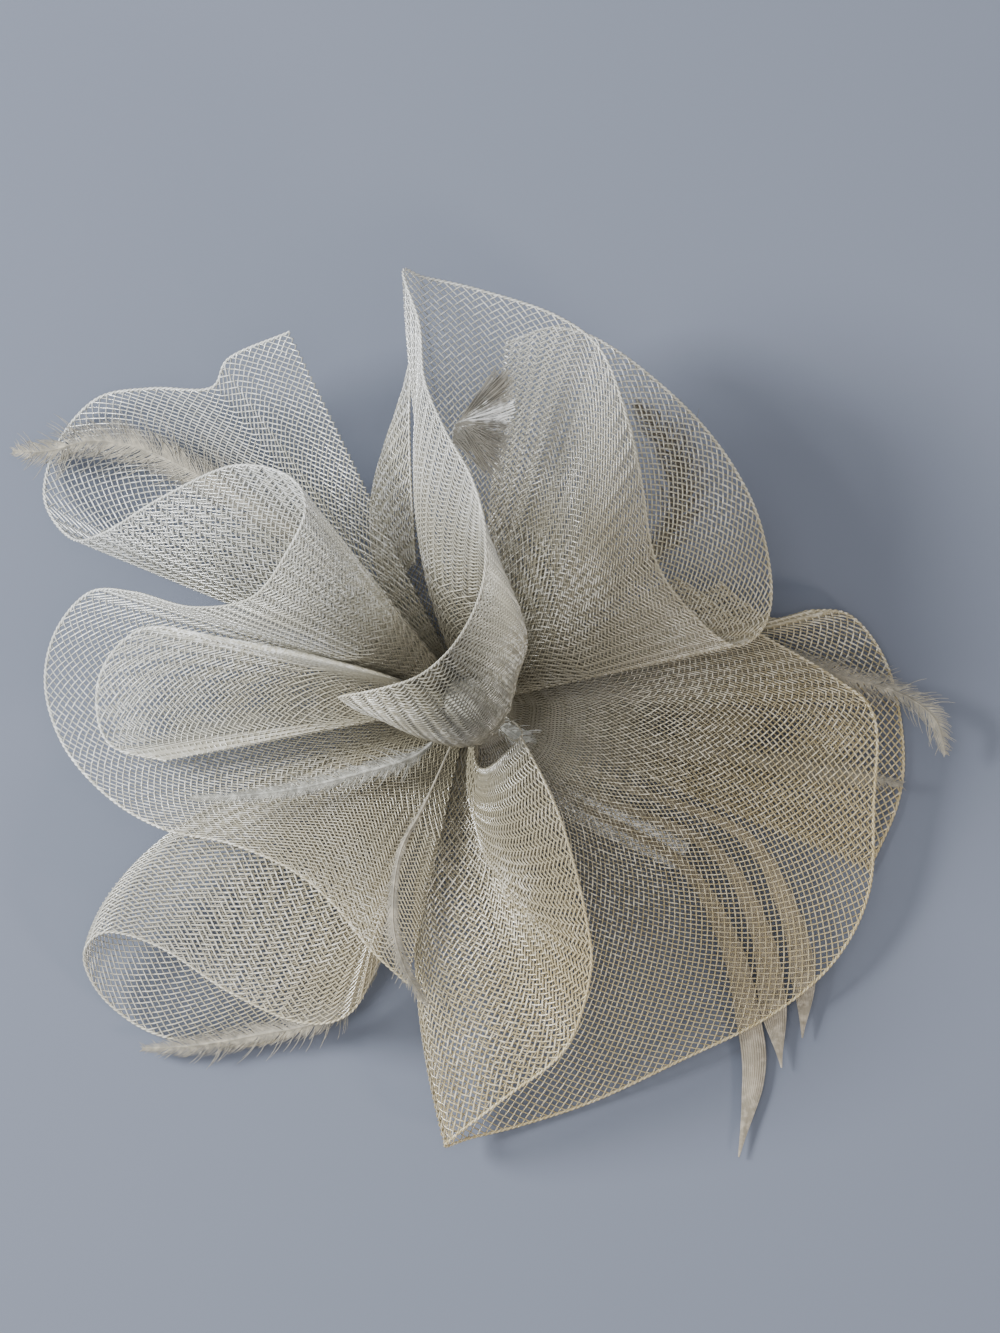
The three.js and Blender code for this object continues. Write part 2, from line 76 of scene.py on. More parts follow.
# Each loop of crin as its ribs, from the core to the free edge. East, north and rise are where the
# rib ends, bow, push east and push north are how far its middle stands off the straight line, all
# as shares of the crin's width, and the last number is where it leaves the core, as a share of
# the core's height.
LOOPS = {
    "crown": [
        (0.07, 0.72, 0.2, 0.09, 0, 0, 0.42),
        (0.18, 0.75, 0.2, 0.09, 0, 0, 0.42),
        (0.3, 0.7, 0.2, 0.09, 0, 0, 0.42),
        (0.46, 0.56, 0.2, 0.09, 0, 0, 0.42),
        (0.56, 0.41, 0.2, 0.09, 0, 0, 0.42),
        (0.6, 0.26, 0.21, 0.08, 0, 0, 0.43),
        (0.59, 0.16, 0.23, 0.07, 0, 0, 0.46),
        (0.53, 0.115, 0.27, 0.07, 0, 0, 0.52),
        (0.45, 0.17, 0.33, 0.09, 0, 0, 0.6),
        (0.37, 0.28, 0.4, 0.12, 0, 0, 0.64),
        (0.34, 0.44, 0.45, 0.13, 0, 0, 0.66),
        (0.31, 0.57, 0.46, 0.12, 0, 0, 0.67),
        (0.26, 0.7, 0.44, 0.11, 0, 0, 0.68),
        (0.17, 0.77, 0.43, 0.1, 0, 0, 0.69),
        (0.02, 0.82, 0.44, 0.09, 0, 0, 0.7),
        (-0.09, 0.845, 0.46, 0.08, 0, 0, 0.72),
        (-0.132, 0.855, 0.5, 0.08, -0.02, 0, 0.78),
        (-0.1, 0.75, 0.56, 0.07, -0.03, 0, 0.82),
        (-0.09, 0.64, 0.61, 0.06, -0.05, 0, 0.84),
        (-0.05, 0.54, 0.67, 0.05, -0.05, 0, 0.86),
        (0.005, 0.44, 0.74, 0.04, -0.02, 0, 0.88),
        (0.03, 0.34, 0.77, 0.03, 0.04, 0.01, 0.9),
        (0.025, 0.23, 0.77, 0.03, 0.08, 0, 0.91),
        (-0.02, 0.13, 0.73, 0.03, 0.08, -0.01, 0.92),
        (-0.09, 0.06, 0.66, 0.03, 0.055, -0.066, 0.93),
        (-0.17, 0.03, 0.59, 0.03, 0.015, -0.066, 0.94),
        (-0.26, 0.012, 0.5, 0.03, -0.01, -0.03, 0.94),
    ],
    "left": [
        (-0.36, 0.74, 0.28, 0.14, 0, 0, 0.2),
        (-0.48, 0.69, 0.2, 0.1, 0, 0, 0.2),
        (-0.52, 0.63, 0.15, 0.05, 0, 0, 0.2),
        (-0.64, 0.63, 0.1, 0.05, 0, 0, 0.2),
        (-0.75, 0.61, 0.05, 0.05, 0, 0, 0.2),
        (-0.83, 0.52, 0.01, 0.04, 0, 0, 0.21),
        (-0.855, 0.41, 0.05, 0.04, 0, 0, 0.22),
        (-0.8, 0.33, 0.13, 0.04, 0, 0, 0.26),
        (-0.73, 0.34, 0.23, 0.05, 0, 0, 0.3),
        (-0.61, 0.41, 0.36, 0.06, 0, 0, 0.34),
        (-0.47, 0.47, 0.49, 0.07, 0, 0, 0.38),
        (-0.36, 0.45, 0.58, 0.07, 0, 0, 0.42),
        (-0.325, 0.385, 0.61, 0.07, 0, 0, 0.48),
        (-0.36, 0.3, 0.59, 0.08, 0, 0, 0.54),
        (-0.43, 0.21, 0.53, 0.09, 0, 0, 0.57),
        (-0.55, 0.19, 0.43, 0.09, 0, 0, 0.58),
        (-0.67, 0.22, 0.31, 0.08, 0, 0, 0.58),
        (-0.76, 0.22, 0.22, 0.07, 0, 0, 0.58),
        (-0.83, 0.14, 0.17, 0.06, 0, 0, 0.58),
        (-0.85, 0.03, 0.16, 0.06, 0, 0, 0.58),
        (-0.81, -0.09, 0.18, 0.06, 0, 0, 0.58),
        (-0.72, -0.19, 0.21, 0.06, 0, 0, 0.58),
        (-0.61, -0.252, 0.24, 0.06, 0, 0, 0.58),
        (-0.48, -0.28, 0.25, 0.06, 0, 0, 0.58),
        (-0.354, -0.334, 0.26, 0.06, 0, 0, 0.58),
        (-0.27, -0.404, 0.26, 0.06, 0, 0, 0.58),
        (-0.2, -0.49, 0.25, 0.06, 0, 0, 0.58),
        (-0.125, -0.56, 0.24, 0.06, 0, 0, 0.6),
    ],
    "inner_left": [
        (-0.2, 0.065, 0.36, 0.08, 0, 0, 0.74),
        (-0.34, 0.1, 0.37, 0.08, 0, 0, 0.74),
        (-0.5, 0.13, 0.36, 0.08, 0, 0, 0.74),
        (-0.64, 0.15, 0.33, 0.08, 0, 0, 0.73),
        (-0.72, 0.09, 0.3, 0.08, 0, 0, 0.72),
        (-0.745, 0, 0.28, 0.08, 0, 0, 0.72),
        (-0.715, -0.085, 0.28, 0.08, 0, 0, 0.72),
        (-0.605, -0.115, 0.3, 0.08, 0, 0, 0.72),
    ],
    "lower_left": [
        (-0.18, -0.51, 0.15, 0.06, -0.03, 0.01, 0.36),
        (-0.24, -0.62, 0.14, 0.06, -0.02, 0, 0.36),
        (-0.34, -0.64, 0.14, 0.06, 0, 0, 0.36),
        (-0.48, -0.58, 0.14, 0.05, -0.02, 0, 0.36),
        (-0.62, -0.49, 0.13, 0.05, -0.07, 0.01, 0.35),
        (-0.73, -0.46, 0.12, 0.04, -0.13, 0.02, 0.33),
        (-0.775, -0.51, 0.08, 0.03, -0.15, 0.02, 0.27),
        (-0.73, -0.6, 0.04, 0.02, -0.11, 0.01, 0.21),
        (-0.62, -0.67, 0.02, 0.02, -0.05, 0, 0.18),
        (-0.45, -0.69, 0.01, 0.02, 0, 0, 0.17),
        (-0.33, -0.655, 0.02, 0.02, 0, 0, 0.17),
        (-0.24, -0.6, 0.03, 0.02, 0, 0, 0.17),
    ],
    "lower_right": [
        (0.1, -0.065, 0.42, 0, -0.03, -0.07, 0.8),
        (0.15, -0.16, 0.43, 0, -0.06, -0.1, 0.78),
        (0.19, -0.26, 0.42, 0, -0.07, -0.11, 0.75),
        (0.23, -0.42, 0.38, 0.01, -0.07, -0.1, 0.7),
        (0.24, -0.54, 0.33, 0.02, -0.05, -0.06, 0.65),
        (0.19, -0.69, 0.26, 0.04, -0.06, -0.03, 0.6),
        (0.07, -0.79, 0.19, 0.06, -0.1, 0, 0.55),
        (-0.02, -0.86, 0.13, 0.07, -0.09, 0.03, 0.47),
        (-0.05, -0.89, 0.08, 0.06, -0.075, 0.04, 0.38),
        (0, -0.875, 0.03, 0.05, -0.095, 0.04, 0.29),
        (0.1, -0.85, 0.012, 0.04, -0.04, 0.01, 0.24),
        (0.25, -0.8, 0.012, 0.03, 0, 0, 0.21),
        (0.42, -0.72, 0.03, 0.03, 0, 0, 0.2),
        (0.6, -0.63, 0.045, 0.03, 0, 0, 0.2),
        (0.73, -0.52, 0.055, 0.03, 0, 0, 0.2),
        (0.8, -0.38, 0.07, 0.03, 0, 0, 0.2),
        (0.81, -0.2, 0.1, 0.03, 0, 0, 0.2),
        (0.81, -0.03, 0.12, 0.03, 0, 0, 0.2),
        (0.73, 0.05, 0.12, 0.03, 0, 0, 0.2),
        (0.56, 0.15, 0.12, 0.03, 0, 0, 0.2),
        (0.41, 0.25, 0.12, 0.03, 0, 0, 0.2),
    ],
    "right": [
        (0.5, 0.24, 0.05, 0.02, 0, 0, 0.04),
        (0.6, 0.17, 0.05, 0.02, 0, 0, 0.04),
        (0.69, 0.185, 0.05, 0.02, 0, 0, 0.04),
        (0.77, 0.17, 0.04, 0.02, 0, 0, 0.04),
        (0.84, 0.07, 0.02, 0.02, 0, 0, 0.04),
        (0.87, -0.08, 0.01, 0.02, 0, 0, 0.04),
        (0.86, -0.2, 0.008, 0.02, 0, 0, 0.04),
        (0.8, -0.34, 0.008, 0.02, 0, 0, 0.04),
    ],
    "back": [
        (-0.11, 0.74, 0.36, -0.03, -0.05, 0, 0.06),
        (-0.12, 0.61, 0.36, -0.07, -0.11, 0.02, 0.07),
        (-0.12, 0.5, 0.32, -0.06, -0.12, 0.03, 0.07),
        (-0.115, 0.38, 0.26, -0.045, -0.1, 0.02, 0.07),
        (-0.11, 0.28, 0.2, -0.03, -0.07, 0.01, 0.07),
    ],
}

# The leaves of each loop, between its folds: the frame's node, and its first and last row.
LEAVES = [
    ("crown_dome", "crown", 0, 7),
    ("crown_front", "crown", 7, 16),
    ("crown_whorl", "crown", 16, 26),
    ("left_under", "left", 0, 7),
    ("left_roll", "left", 7, 12),
    ("left_lobe", "left", 12, 22),
    ("left_fall", "left", 22, 27),
    ("inner_left_loop", "inner_left", 0, 7),
    ("lower_left_top", "lower_left", 0, 6),
    ("lower_left_under", "lower_left", 6, 11),
    ("bottom_tongue", "lower_right", 0, 8),
    ("low_fan", "lower_right", 8, 20),
    ("right_loop", "right", 0, 7),
    ("back_strip", "back", 0, 4),
]

# Each feather: where its quill leaves the core, as a share of the core's height, and the points of
# its shaft, as east, north and rise in shares of the crin's width and the vane's share of width.
FEATHERS = {
    "feather_far_left": (0.28, [
        (-0.2, 0.2, 0.17, 0.1),
        (-0.34, 0.33, 0.21, 0.5),
        (-0.6, 0.485, 0.17, 0.9),
        (-0.74, 0.525, 0.13, 0.8),
        (-0.85, 0.505, 0.1, 0.5),
        (-0.92, 0.506, 0.07, 0),
    ]),
    "feather_top_curl": (0.8, [
        (0, 0.2, 0.31, 0),
        (-0.01, 0.35, 0.42, 0),
        (-0.03, 0.48, 0.5, 0.1),
        (-0.03, 0.55, 0.535, 0.6),
        (0.01, 0.56, 0.55, 1.6),
        (0.05, 0.555, 0.55, 2.6),
        (0.09, 0.55, 0.545, 3.2),
    ]),
    "feather_right": (0.12, [
        (0.2, 0.04, 0.085, 0),
        (0.4, 0.08, 0.095, 0.2),
        (0.58, 0.1, 0.085, 0.5),
        (0.76, 0.05, 0.075, 0.6),
        (0.86, 0.02, 0.08, 0.6),
        (0.93, -0.03, 0.09, 0.5),
        (0.956, -0.105, 0.07, 0),
    ]),
    "feather_biot_low": (0.06, [
        (0.2, -0.19, 0.052, 0),
        (0.42, -0.32, 0.055, 0.1),
        (0.52, -0.48, 0.045, 0.3),
        (0.56, -0.64, 0.025, 0.4),
        (0.57, -0.75, 0.018, 0.35),
        (0.54, -0.914, 0.012, 0),
    ]),
    "feather_biot_middle": (0.14, [
        (0.235, -0.175, 0.074, 0),
        (0.48, -0.29, 0.064, 0.1),
        (0.58, -0.45, 0.055, 0.3),
        (0.61, -0.62, 0.028, 0.45),
        (0.626, -0.734, 0.018, 0),
    ]),
    "feather_biot_high": (0.06, [
        (0.28, -0.155, 0.058, 0),
        (0.54, -0.26, 0.073, 0.1),
        (0.64, -0.42, 0.06, 0.3),
        (0.67, -0.56, 0.032, 0.4),
        (0.668, -0.674, 0.018, 0),
    ]),
    "feather_bottom": (0.76, [
        (-0.09, -0.2, 0.27, 0),
        (-0.14, -0.3, 0.31, 0.1),
        (-0.154, -0.43, 0.31, 0.3),
        (-0.13, -0.53, 0.28, 0.3),
        (-0.084, -0.604, 0.24, 0),
    ]),
    "feather_lower_left": (0.27, [
        (-0.14, -0.29, 0.105, 0),
        (-0.18, -0.52, 0.09, 0.2),
        (-0.28, -0.63, 0.065, 0.5),
        (-0.44, -0.67, 0.045, 0.6),
        (-0.56, -0.69, 0.04, 0.4),
        (-0.66, -0.695, 0.035, 0),
    ]),
    "feather_over_left": (0.73, [
        (-0.1, -0.1, 0.24, 0.5),
        (-0.18, -0.13, 0.285, 0.6),
        (-0.34, -0.17, 0.33, 0.4),
        (-0.46, -0.185, 0.35, 0.2),
        (-0.56, -0.19, 0.36, 0),
    ]),
    "feather_white_end": (0.86, [
        (0.06, -0.045, 0.205, 0.3),
        (0.09, -0.064, 0.235, 0.6),
        (0.112, -0.08, 0.255, 0.2),
    ]),
    "feather_left_lobe": (0.65, [
        (-0.25, -0.02, 0.235, 0.1),
        (-0.42, -0.034, 0.255, 0.4),
        (-0.52, -0.054, 0.25, 0.5),
        (-0.61, -0.084, 0.245, 0),
    ]),
    "feather_right_lobe": (0.12, [
        (0.18, -0.07, 0.08, 0),
        (0.49, -0.1, 0.09, 0.3),
        (0.7, -0.135, 0.07, 0.5),
        (0.87, -0.164, 0.05, 0),
    ]),
    "feather_under_dome": (0.3, [
        (0.16, 0.15, 0.15, 0.1),
        (0.33, 0.26, 0.17, 0.5),
        (0.42, 0.38, 0.17, 0.9),
        (0.41, 0.5, 0.16, 0.9),
        (0.33, 0.6, 0.15, 0),
    ]),
}

# The feathers with free barbs: how long the barbs are, as a share of the frame's half width, and
# the share of the shaft that is bare.
PLUMES = {
    "feather_far_left": (1.5, 0.3),
    "feather_right": (1.3, 0.45),
    "feather_bottom": (1.3, 0.2),
    "feather_lower_left": (1.35, 0.5),
    "feather_left_lobe": (1.3, 0.3),
    "feather_right_lobe": (1.4, 0.2),
    "feather_under_dome": (1.5, 0.25),
    "feather_over_left": (1.15, 0.12),
    "feather_white_end": (1.2, 0.1),
}

# The feather whose barbs spread at its tip. Those in neither table are smooth closed blades.
FANS = {"feather_top_curl"}
BLADE_WIDTH = 1.25  # as a share of the frame's width

# The tint of each feather that isn't dun, and the colour of each tint's pale bands.
TINTS = {
    "feather_biot_low": "beige",
    "feather_biot_middle": "beige",
    "feather_biot_high": "beige",
    "feather_over_left": "ivory",
    "feather_white_end": "ivory",
    "feather_top_curl": "fan",
    "feather_left_lobe": "ivory",
    # The feather under the dome takes the dun colour darkened, as painted shade.
    "feather_under_dome": "umber",
}
TIPS = {
    "dun": (0.60, 0.54, 0.42),
    "ivory": (0.78, 0.77, 0.70),
    "beige": (0.66, 0.58, 0.46),
    # Pale bands of the darkened dun, painted shade.
    "umber": (0.34, 0.29, 0.21),
    "fan": (0.98, 0.97, 0.94),
}

# The loop of sewing thread that stands out beside the core, in shares of the crin's width.
THREAD_LOOP = [
    (0.04, -0.01, 0.3),
    (0.075, -0.03, 0.325),
    (0.1, -0.05, 0.335),
    (0.103, -0.066, 0.335),
    (0.084, -0.074, 0.325),
    (0.05, -0.045, 0.3),
]

# Each light: its name, place, size across, power in watts and colour.
LIGHTS = [
    ("window", (-1.4, 0.35, 1.0), 0.6, 54, (0.95, 0.98, 1.0)),
    ("lamp", (1.2, -0.9, 0.8), 0.35, 8, (1.0, 0.92, 0.82)),
    ("overhead", (-0.2, 0.1, 2.2), 1.2, 10, (1.0, 1.0, 1.0)),
]

UNIT_COLOUR = {"subtype": "COLOR", "size": 3, "min": 0.0, "max": 1.0}


class CrinSizes(bpy.types.PropertyGroup):
    """Sizes of the crin braid."""

    width: FloatProperty(
        name="Width",
        description="Of the braid, from the gathered edge to the free edge",
        default=0.150,
        unit="LENGTH",
    )
    cell: FloatProperty(
        name="Mesh cell",
        description="Between neighbouring strands that lean the same way",
        default=0.002,
        unit="LENGTH",
    )
    strand_width: FloatProperty(
        name="Strand width",
        description="Of one nylon strand, across the braid's face",
        default=0.00055,
        unit="LENGTH",
    )
    strand_height: FloatProperty(
        name="Strand height",
        description="Of one nylon strand, out of the braid's face",
        default=0.00049,
        unit="LENGTH",
    )
    crimp: FloatProperty(
        name="Crimp",
        description="How far a strand rises and falls as it passes over and under others",
        default=0.0003,
        unit="LENGTH",
    )
    root_gap: FloatProperty(
        name="Root gap",
        description="Between the core and the gathered edge",
        default=0.0006,
        unit="LENGTH",
    )
    cord_radius: FloatProperty(
        name="Edge cord radius",
        description="From the middle of the free edge's cord to the middle of each of its plies",
        default=0.00024,
        unit="LENGTH",
    )
    cord_pitch: FloatProperty(
        name="Edge cord pitch",
        description="Length of one twist of the free edge's cord",
        default=0.0034,
        unit="LENGTH",
    )


class FeatherSizes(bpy.types.PropertyGroup):
    """Sizes of the feathers."""

    quill_width: FloatProperty(
        name="Quill width",
        description="Of a feather where it leaves the core",
        default=0.0016,
        unit="LENGTH",
    )
    vane_width: FloatProperty(
        name="Vane width",
        description="Of the broadest vane, over its quill's width",
        default=0.010,
        unit="LENGTH",
    )
    barb_gap: FloatProperty(
        name="Barb gap",
        description="Between neighbouring barbs, along the shaft",
        default=0.00032,
        unit="LENGTH",
    )
    barb_radius: FloatProperty(
        name="Barb radius",
        description="Of a barb where it leaves the shaft",
        default=0.0001,
        unit="LENGTH",
    )
    seed: IntProperty(
        name="Seed",
        description="Of the barbs' small differences",
        default=7,
    )


class Colours(bpy.types.PropertyGroup):
    """Colours of the finishes."""

    cool: FloatVectorProperty(
        name="Cool crin",
        description="Silver grey of the crin at the upper left",
        default=(0.72, 0.69, 0.57),
        **UNIT_COLOUR,
    )
    warm: FloatVectorProperty(
        name="Warm crin",
        description="Beige grey of the crin at the lower right",
        default=(0.62, 0.50, 0.27),
        **UNIT_COLOUR,
    )
    dun: FloatVectorProperty(
        name="Dun feathers",
        description="Soft brown grey of most feathers",
        default=(0.42, 0.38, 0.30),
        **UNIT_COLOUR,
    )
    ivory: FloatVectorProperty(
        name="Ivory feathers",
        description="Of the few pale feathers",
        default=(0.40, 0.39, 0.34),
        **UNIT_COLOUR,
    )
    beige: FloatVectorProperty(
        name="Beige feathers",
        description="Of the pointed blades that stick out at the lower right",
        default=(0.50, 0.43, 0.32),
        **UNIT_COLOUR,
    )
    # Painted shade: the dun darkened, for the feather that lies under the dome.
    umber: FloatVectorProperty(
        name="Shaded dun feathers",
        description="Of the dark feather under the dome",
        default=(0.17, 0.14, 0.10),
        **UNIT_COLOUR,
    )
    fan: FloatVectorProperty(
        name="Fan feather",
        description="Of the tuft that opens to the right, between its white barbs",
        default=(0.36, 0.33, 0.27),
        **UNIT_COLOUR,
    )
    felt: FloatVectorProperty(
        name="Felt",
        description="Of the round base",
        default=(0.55, 0.53, 0.47),
        **UNIT_COLOUR,
    )
    metal: FloatVectorProperty(
        name="Clip metal",
        description="Bright plated steel of the clip",
        default=(0.78, 0.79, 0.80),
        **UNIT_COLOUR,
    )
    floor: FloatVectorProperty(
        name="Floor",
        description="Plain grey-blue floor",
        default=(0.203, 0.224, 0.282),
        **UNIT_COLOUR,
    )


class Fascinator(bpy.types.PropertyGroup):
    """All that a user would change."""

    crin: PointerProperty(type=CrinSizes)
    feathers: PointerProperty(type=FeatherSizes)
    colours: PointerProperty(type=Colours)


# Finishes

NOISE_SPAN = (0.3, 0.7)  # where nearly all of a noise's values lie
# On the crin the tone says which way a strand or ply faces, for its painted light and shade; on the
# fan feather it is the barbs' own paleness.
TONE = "tone"  # the attribute that says how pale a thread is, from 0 to 1

# The colours of the crin's painted shade deep beside the core and at the whorl's foot, of its
# painted light far out, of its painted shade where a strand passes under others, and of its painted
# glints.
SHADED_CRIN = (0.13, 0.12, 0.085)
PAINTED_LIGHT_CRIN = (0.82, 0.84, 0.85)
UNDER_SHADE_CRIN = (0.08, 0.075, 0.055)
COOL_GLINT = (1.0, 1.0, 0.97)
WARM_GLINT = (1.0, 0.9, 0.68)

# Where the changes of the crin's colour begin and end, and their shares there when they aren't 0
# and 1. Places are metres.
WARMING = (-0.12, 0.11)  # in x less y
# The painted shade of passing under and the painted glints fade towards the lower right.
EVENING_OUT = (0.1, 0.14, 1.0, 0.35)  # in x less y
# The painted shade beside the core is strongest at the right, away from the light.
RIGHT_SIDE = (-0.03, 0.03, 0.3, 1.0)  # in x
# Painted shade, darkest near the core's foot.
CORE_SHADING = (0.02, 0.095, 0.85, 0.0)  # from the core's foot
# Painted light, paler far out.
FAR_LIGHTING = (0.08, 0.13, 0.0, 0.5)  # from the core's foot
# Painted glints, none at the core's foot.
SHINING = (0.03, 0.07)  # from the core's foot
# Painted shade at the whorl's foot.
WHORL_SHADE_HEIGHT = (0.03, 0.05)  # in z
WHORL_SHADE_REACH = (0.008, 0.036, 0.8, 0.0)  # from the core's axis
# Painted shade where a strand passes under others.
UNDER_SHADING = (0.0, 1.0, 0.42, 0.0)  # in tone
# Painted glints where a strand passes over others.
PASSING_OVER = (0.2, 0.75)  # in tone
PATCH_SCALE = 18.0
PATCH_SWAY = 0.09  # how far patches shift the warming, in metres
GLINT_SCALE = 700.0
GLINT_SPAN = (0.45, 0.55)
LIT_SCALE = 26.0
LIT_SPAN = (0.4, 0.58)


class Socket:
    """An output socket of a finish. Sums on it add the nodes that work them out."""

    def __init__(self, finish, output):
        self.finish = finish
        self.output = output

    def sum(self, operation, first, second):
        return self.finish.node(
            "ShaderNodeMath", {"operation": operation}, {0: first, 1: second}
        )

    def __add__(self, other):
        return self.sum("ADD", self, other)

    def __sub__(self, other):
        return self.sum("SUBTRACT", self, other)

    def __rsub__(self, other):
        return self.sum("SUBTRACT", other, self)

    def __mul__(self, other):
        return self.sum("MULTIPLY", self, other)

    __radd__ = __add__
    __rmul__ = __mul__


class Finish:
    """A material on one principled shader."""

    def __init__(self, name, **constants):
        self.material = bpy.data.materials.new(name)
        self.material.use_nodes = True
        self.tree = self.material.node_tree
        self.shader = self.tree.nodes["Principled BSDF"]
        self.feed(self.shader, constants)

    def feed(self, node, sockets):
        for key, value in sockets.items():
            name = key.replace("_", " ") if isinstance(key, str) else key
            if isinstance(value, Socket):
                self.tree.links.new(value.output, node.inputs[name])
            else:
                node.inputs[name].default_value = value

    def node(self, kind, settings=None, sockets=None, output=0):
        made = self.tree.nodes.new(kind)
        for key, value in (settings or {}).items():
            setattr(made, key, value)
        self.feed(made, sockets or {})
        return Socket(self, made.outputs[output])

    def shade(self, **sockets):
        self.feed(self.shader, sockets)
        return self.material

    def place(self):
        return self.node("ShaderNodeTexCoord", output="Object")

    def axis(self, vector, index):
        return self.node("ShaderNodeSeparateXYZ", sockets={0: vector}, output=index)

    def noise(self, vector, scale, detail=2.0):
        return self.node(
            "ShaderNodeTexNoise", sockets={"Vector": vector, "Scale": scale, "Detail": detail}
        )

    def spread(self, value, low, high, to_low=0.0, to_high=1.0):
        """The value mapped from low..high to to_low..to_high, and held there."""
        sockets = {0: value, 1: low, 2: high, 3: to_low, 4: to_high}
        return self.node("ShaderNodeMapRange", {"clamp": True}, sockets)

    def tone(self):
        return self.node("ShaderNodeAttribute", {"attribute_name": TONE}, output="Fac")

    def distance(self, place, spot):
        settings = {"operation": "DISTANCE"}
        return self.node("ShaderNodeVectorMath", settings, {0: place, 1: spot}, "Value")

    def mix(self, share, first, second):
        first, second = (c if isinstance(c, Socket) else (*c, 1) for c in (first, second))
        sockets = {0: share, 6: first, 7: second}
        return self.node("ShaderNodeMix", {"data_type": "RGBA"}, sockets, 2)

    def bump(self, height, distance, strength):
        sockets = {"Height": height, "Distance": distance, "Strength": strength}
        return self.node("ShaderNodeBump", sockets=sockets)


def crin_colour(finish, colours):
    """From the cool upper left to the warm lower right, with slow patches. Painted shade darkens
    it deep beside the core, most at the right, away from the light, and at the whorl's foot,
    and painted light makes it paler far out at the upper left. A strand has painted shade where
    it passes under others and painted glints where it passes over them, both fainter at the far
    lower right."""
    place = finish.place()
    tone = finish.tone()
    slant = finish.axis(place, 0) - finish.axis(place, 1)
    patches = finish.noise(place, PATCH_SCALE)
    warmth = finish.spread(slant + (patches - 0.5) * PATCH_SWAY, *WARMING)
    depth = finish.distance(place, (*CORE_AXIS[:2], CORE_LOW[2]))
    right = finish.spread(finish.axis(place, 0), *RIGHT_SIDE)
    settings = {"operation": "MULTIPLY"}
    level = finish.node("ShaderNodeVectorMath", settings, {0: place, 1: (1, 1, 0)}, "Vector")
    # Where painted shade falls at the whorl's foot.
    foot = finish.spread(finish.distance(level, tuple(CORE_AXIS)), *WHORL_SHADE_REACH)
    foot = foot * finish.spread(finish.axis(place, 2), *WHORL_SHADE_HEIGHT)
    even = finish.spread(slant, *EVENING_OUT)
    base = finish.mix(warmth, colours.cool, colours.warm)
    # Painted shade deep beside the core, stronger at the right.
    base = finish.mix(finish.spread(depth, *CORE_SHADING) * right, base, SHADED_CRIN)
    # Painted light: paler far out at the upper left.
    base = finish.mix(finish.spread(depth, *FAR_LIGHTING) * (1 - warmth), base, PAINTED_LIGHT_CRIN)
    # Painted shade at the whorl's foot.
    base = finish.mix(foot, base, SHADED_CRIN)
    # Painted shade where a strand passes under others, fainter at the far lower right.
    base = finish.mix(finish.spread(tone, *UNDER_SHADING) * even, base, UNDER_SHADE_CRIN)
    # Painted glints in lit patches where strands pass over others, faded near the core and at the far
    # lower right.
    glints = finish.spread(finish.noise(place, GLINT_SCALE, 1.0), *GLINT_SPAN) * even
    lit = finish.spread(finish.noise(place, LIT_SCALE), *LIT_SPAN)
    lit = lit * finish.spread(depth, *SHINING) * finish.spread(tone, *PASSING_OVER)
    return finish.mix(glints * lit, base, finish.mix(warmth, COOL_GLINT, WARM_GLINT))


def darker(colour, share):
    return tuple(share * c for c in colour)


def nylon_finish(colours):
    finish = Finish("crin_nylon", IOR=1.53, Specular_IOR_Level=1.0, Coat_Roughness=0.1)
    place = finish.place()
    clear = finish.noise(place, 120.0)
    return finish.shade(
        Base_Color=crin_colour(finish, colours),
        Roughness=finish.spread(clear, *NOISE_SPAN, 0.16, 0.3),
        Coat_Weight=finish.spread(clear, *NOISE_SPAN, 0.7, 1.0),
    )


def cord_finish(colours):
    finish = Finish("crin_edge", IOR=1.53, Specular_IOR_Level=0.8)
    place = finish.place()
    roughness = finish.spread(finish.noise(place, 120.0), *NOISE_SPAN, 0.16, 0.34)
    return finish.shade(Base_Color=crin_colour(finish, colours), Roughness=roughness)


def feather_finish(name, colour, tip):
    """Soft patches of the colour and of a darker one, and fine bands of its pale tip colour."""
    finish = Finish(name, Sheen_Weight=0.25)
    place = finish.place()
    patches = finish.spread(finish.noise(place, 60.0), 0.4, 0.6)
    soft = finish.mix(patches, darker(colour, 0.7), colour)
    bands = finish.spread(finish.noise(place, 520.0, 3.0) + finish.tone() - 0.5, 0.45, 0.75)
    roughness = finish.spread(finish.noise(place, 200.0), *NOISE_SPAN, 0.5, 0.75)
    return finish.shade(Base_Color=finish.mix(bands, soft, tip), Roughness=roughness)


def thread_finish(colours):
    finish = Finish("gathered_binding", Sheen_Weight=0.15)
    place = finish.place()
    stretched = finish.node(
        "ShaderNodeMapping", {"vector_type": "POINT"}, {"Vector": place, "Scale": (1, 1, 0.25)}
    )
    fibres = finish.noise(stretched, 900.0, 3.0)
    tone = finish.mix(finish.spread(fibres, *NOISE_SPAN), (0.34, 0.34, 0.3), colours.cool)
    bump = finish.bump(fibres, 0.0003, 0.6)
    roughness = finish.spread(fibres, *NOISE_SPAN, 0.4, 0.65)
    return finish.shade(Base_Color=tone, Roughness=roughness, Normal=bump)


def felt_finish(colours):
    finish = Finish("wool_felt", Sheen_Weight=0.35)
    place = finish.place()
    fibres = finish.noise(place, 1400.0, 5.0)
    clumps = finish.noise(place, 160.0, 3.0)
    mottling = finish.spread(clumps + fibres, 0.75, 1.25)
    tone = finish.mix(mottling, darker(colours.felt, 0.72), colours.felt)
    bump = finish.bump(fibres + clumps * 0.5, 0.0004, 0.8)
    roughness = finish.spread(fibres, *NOISE_SPAN, 0.8, 0.97)
    return finish.shade(Base_Color=tone, Roughness=roughness, Normal=bump)


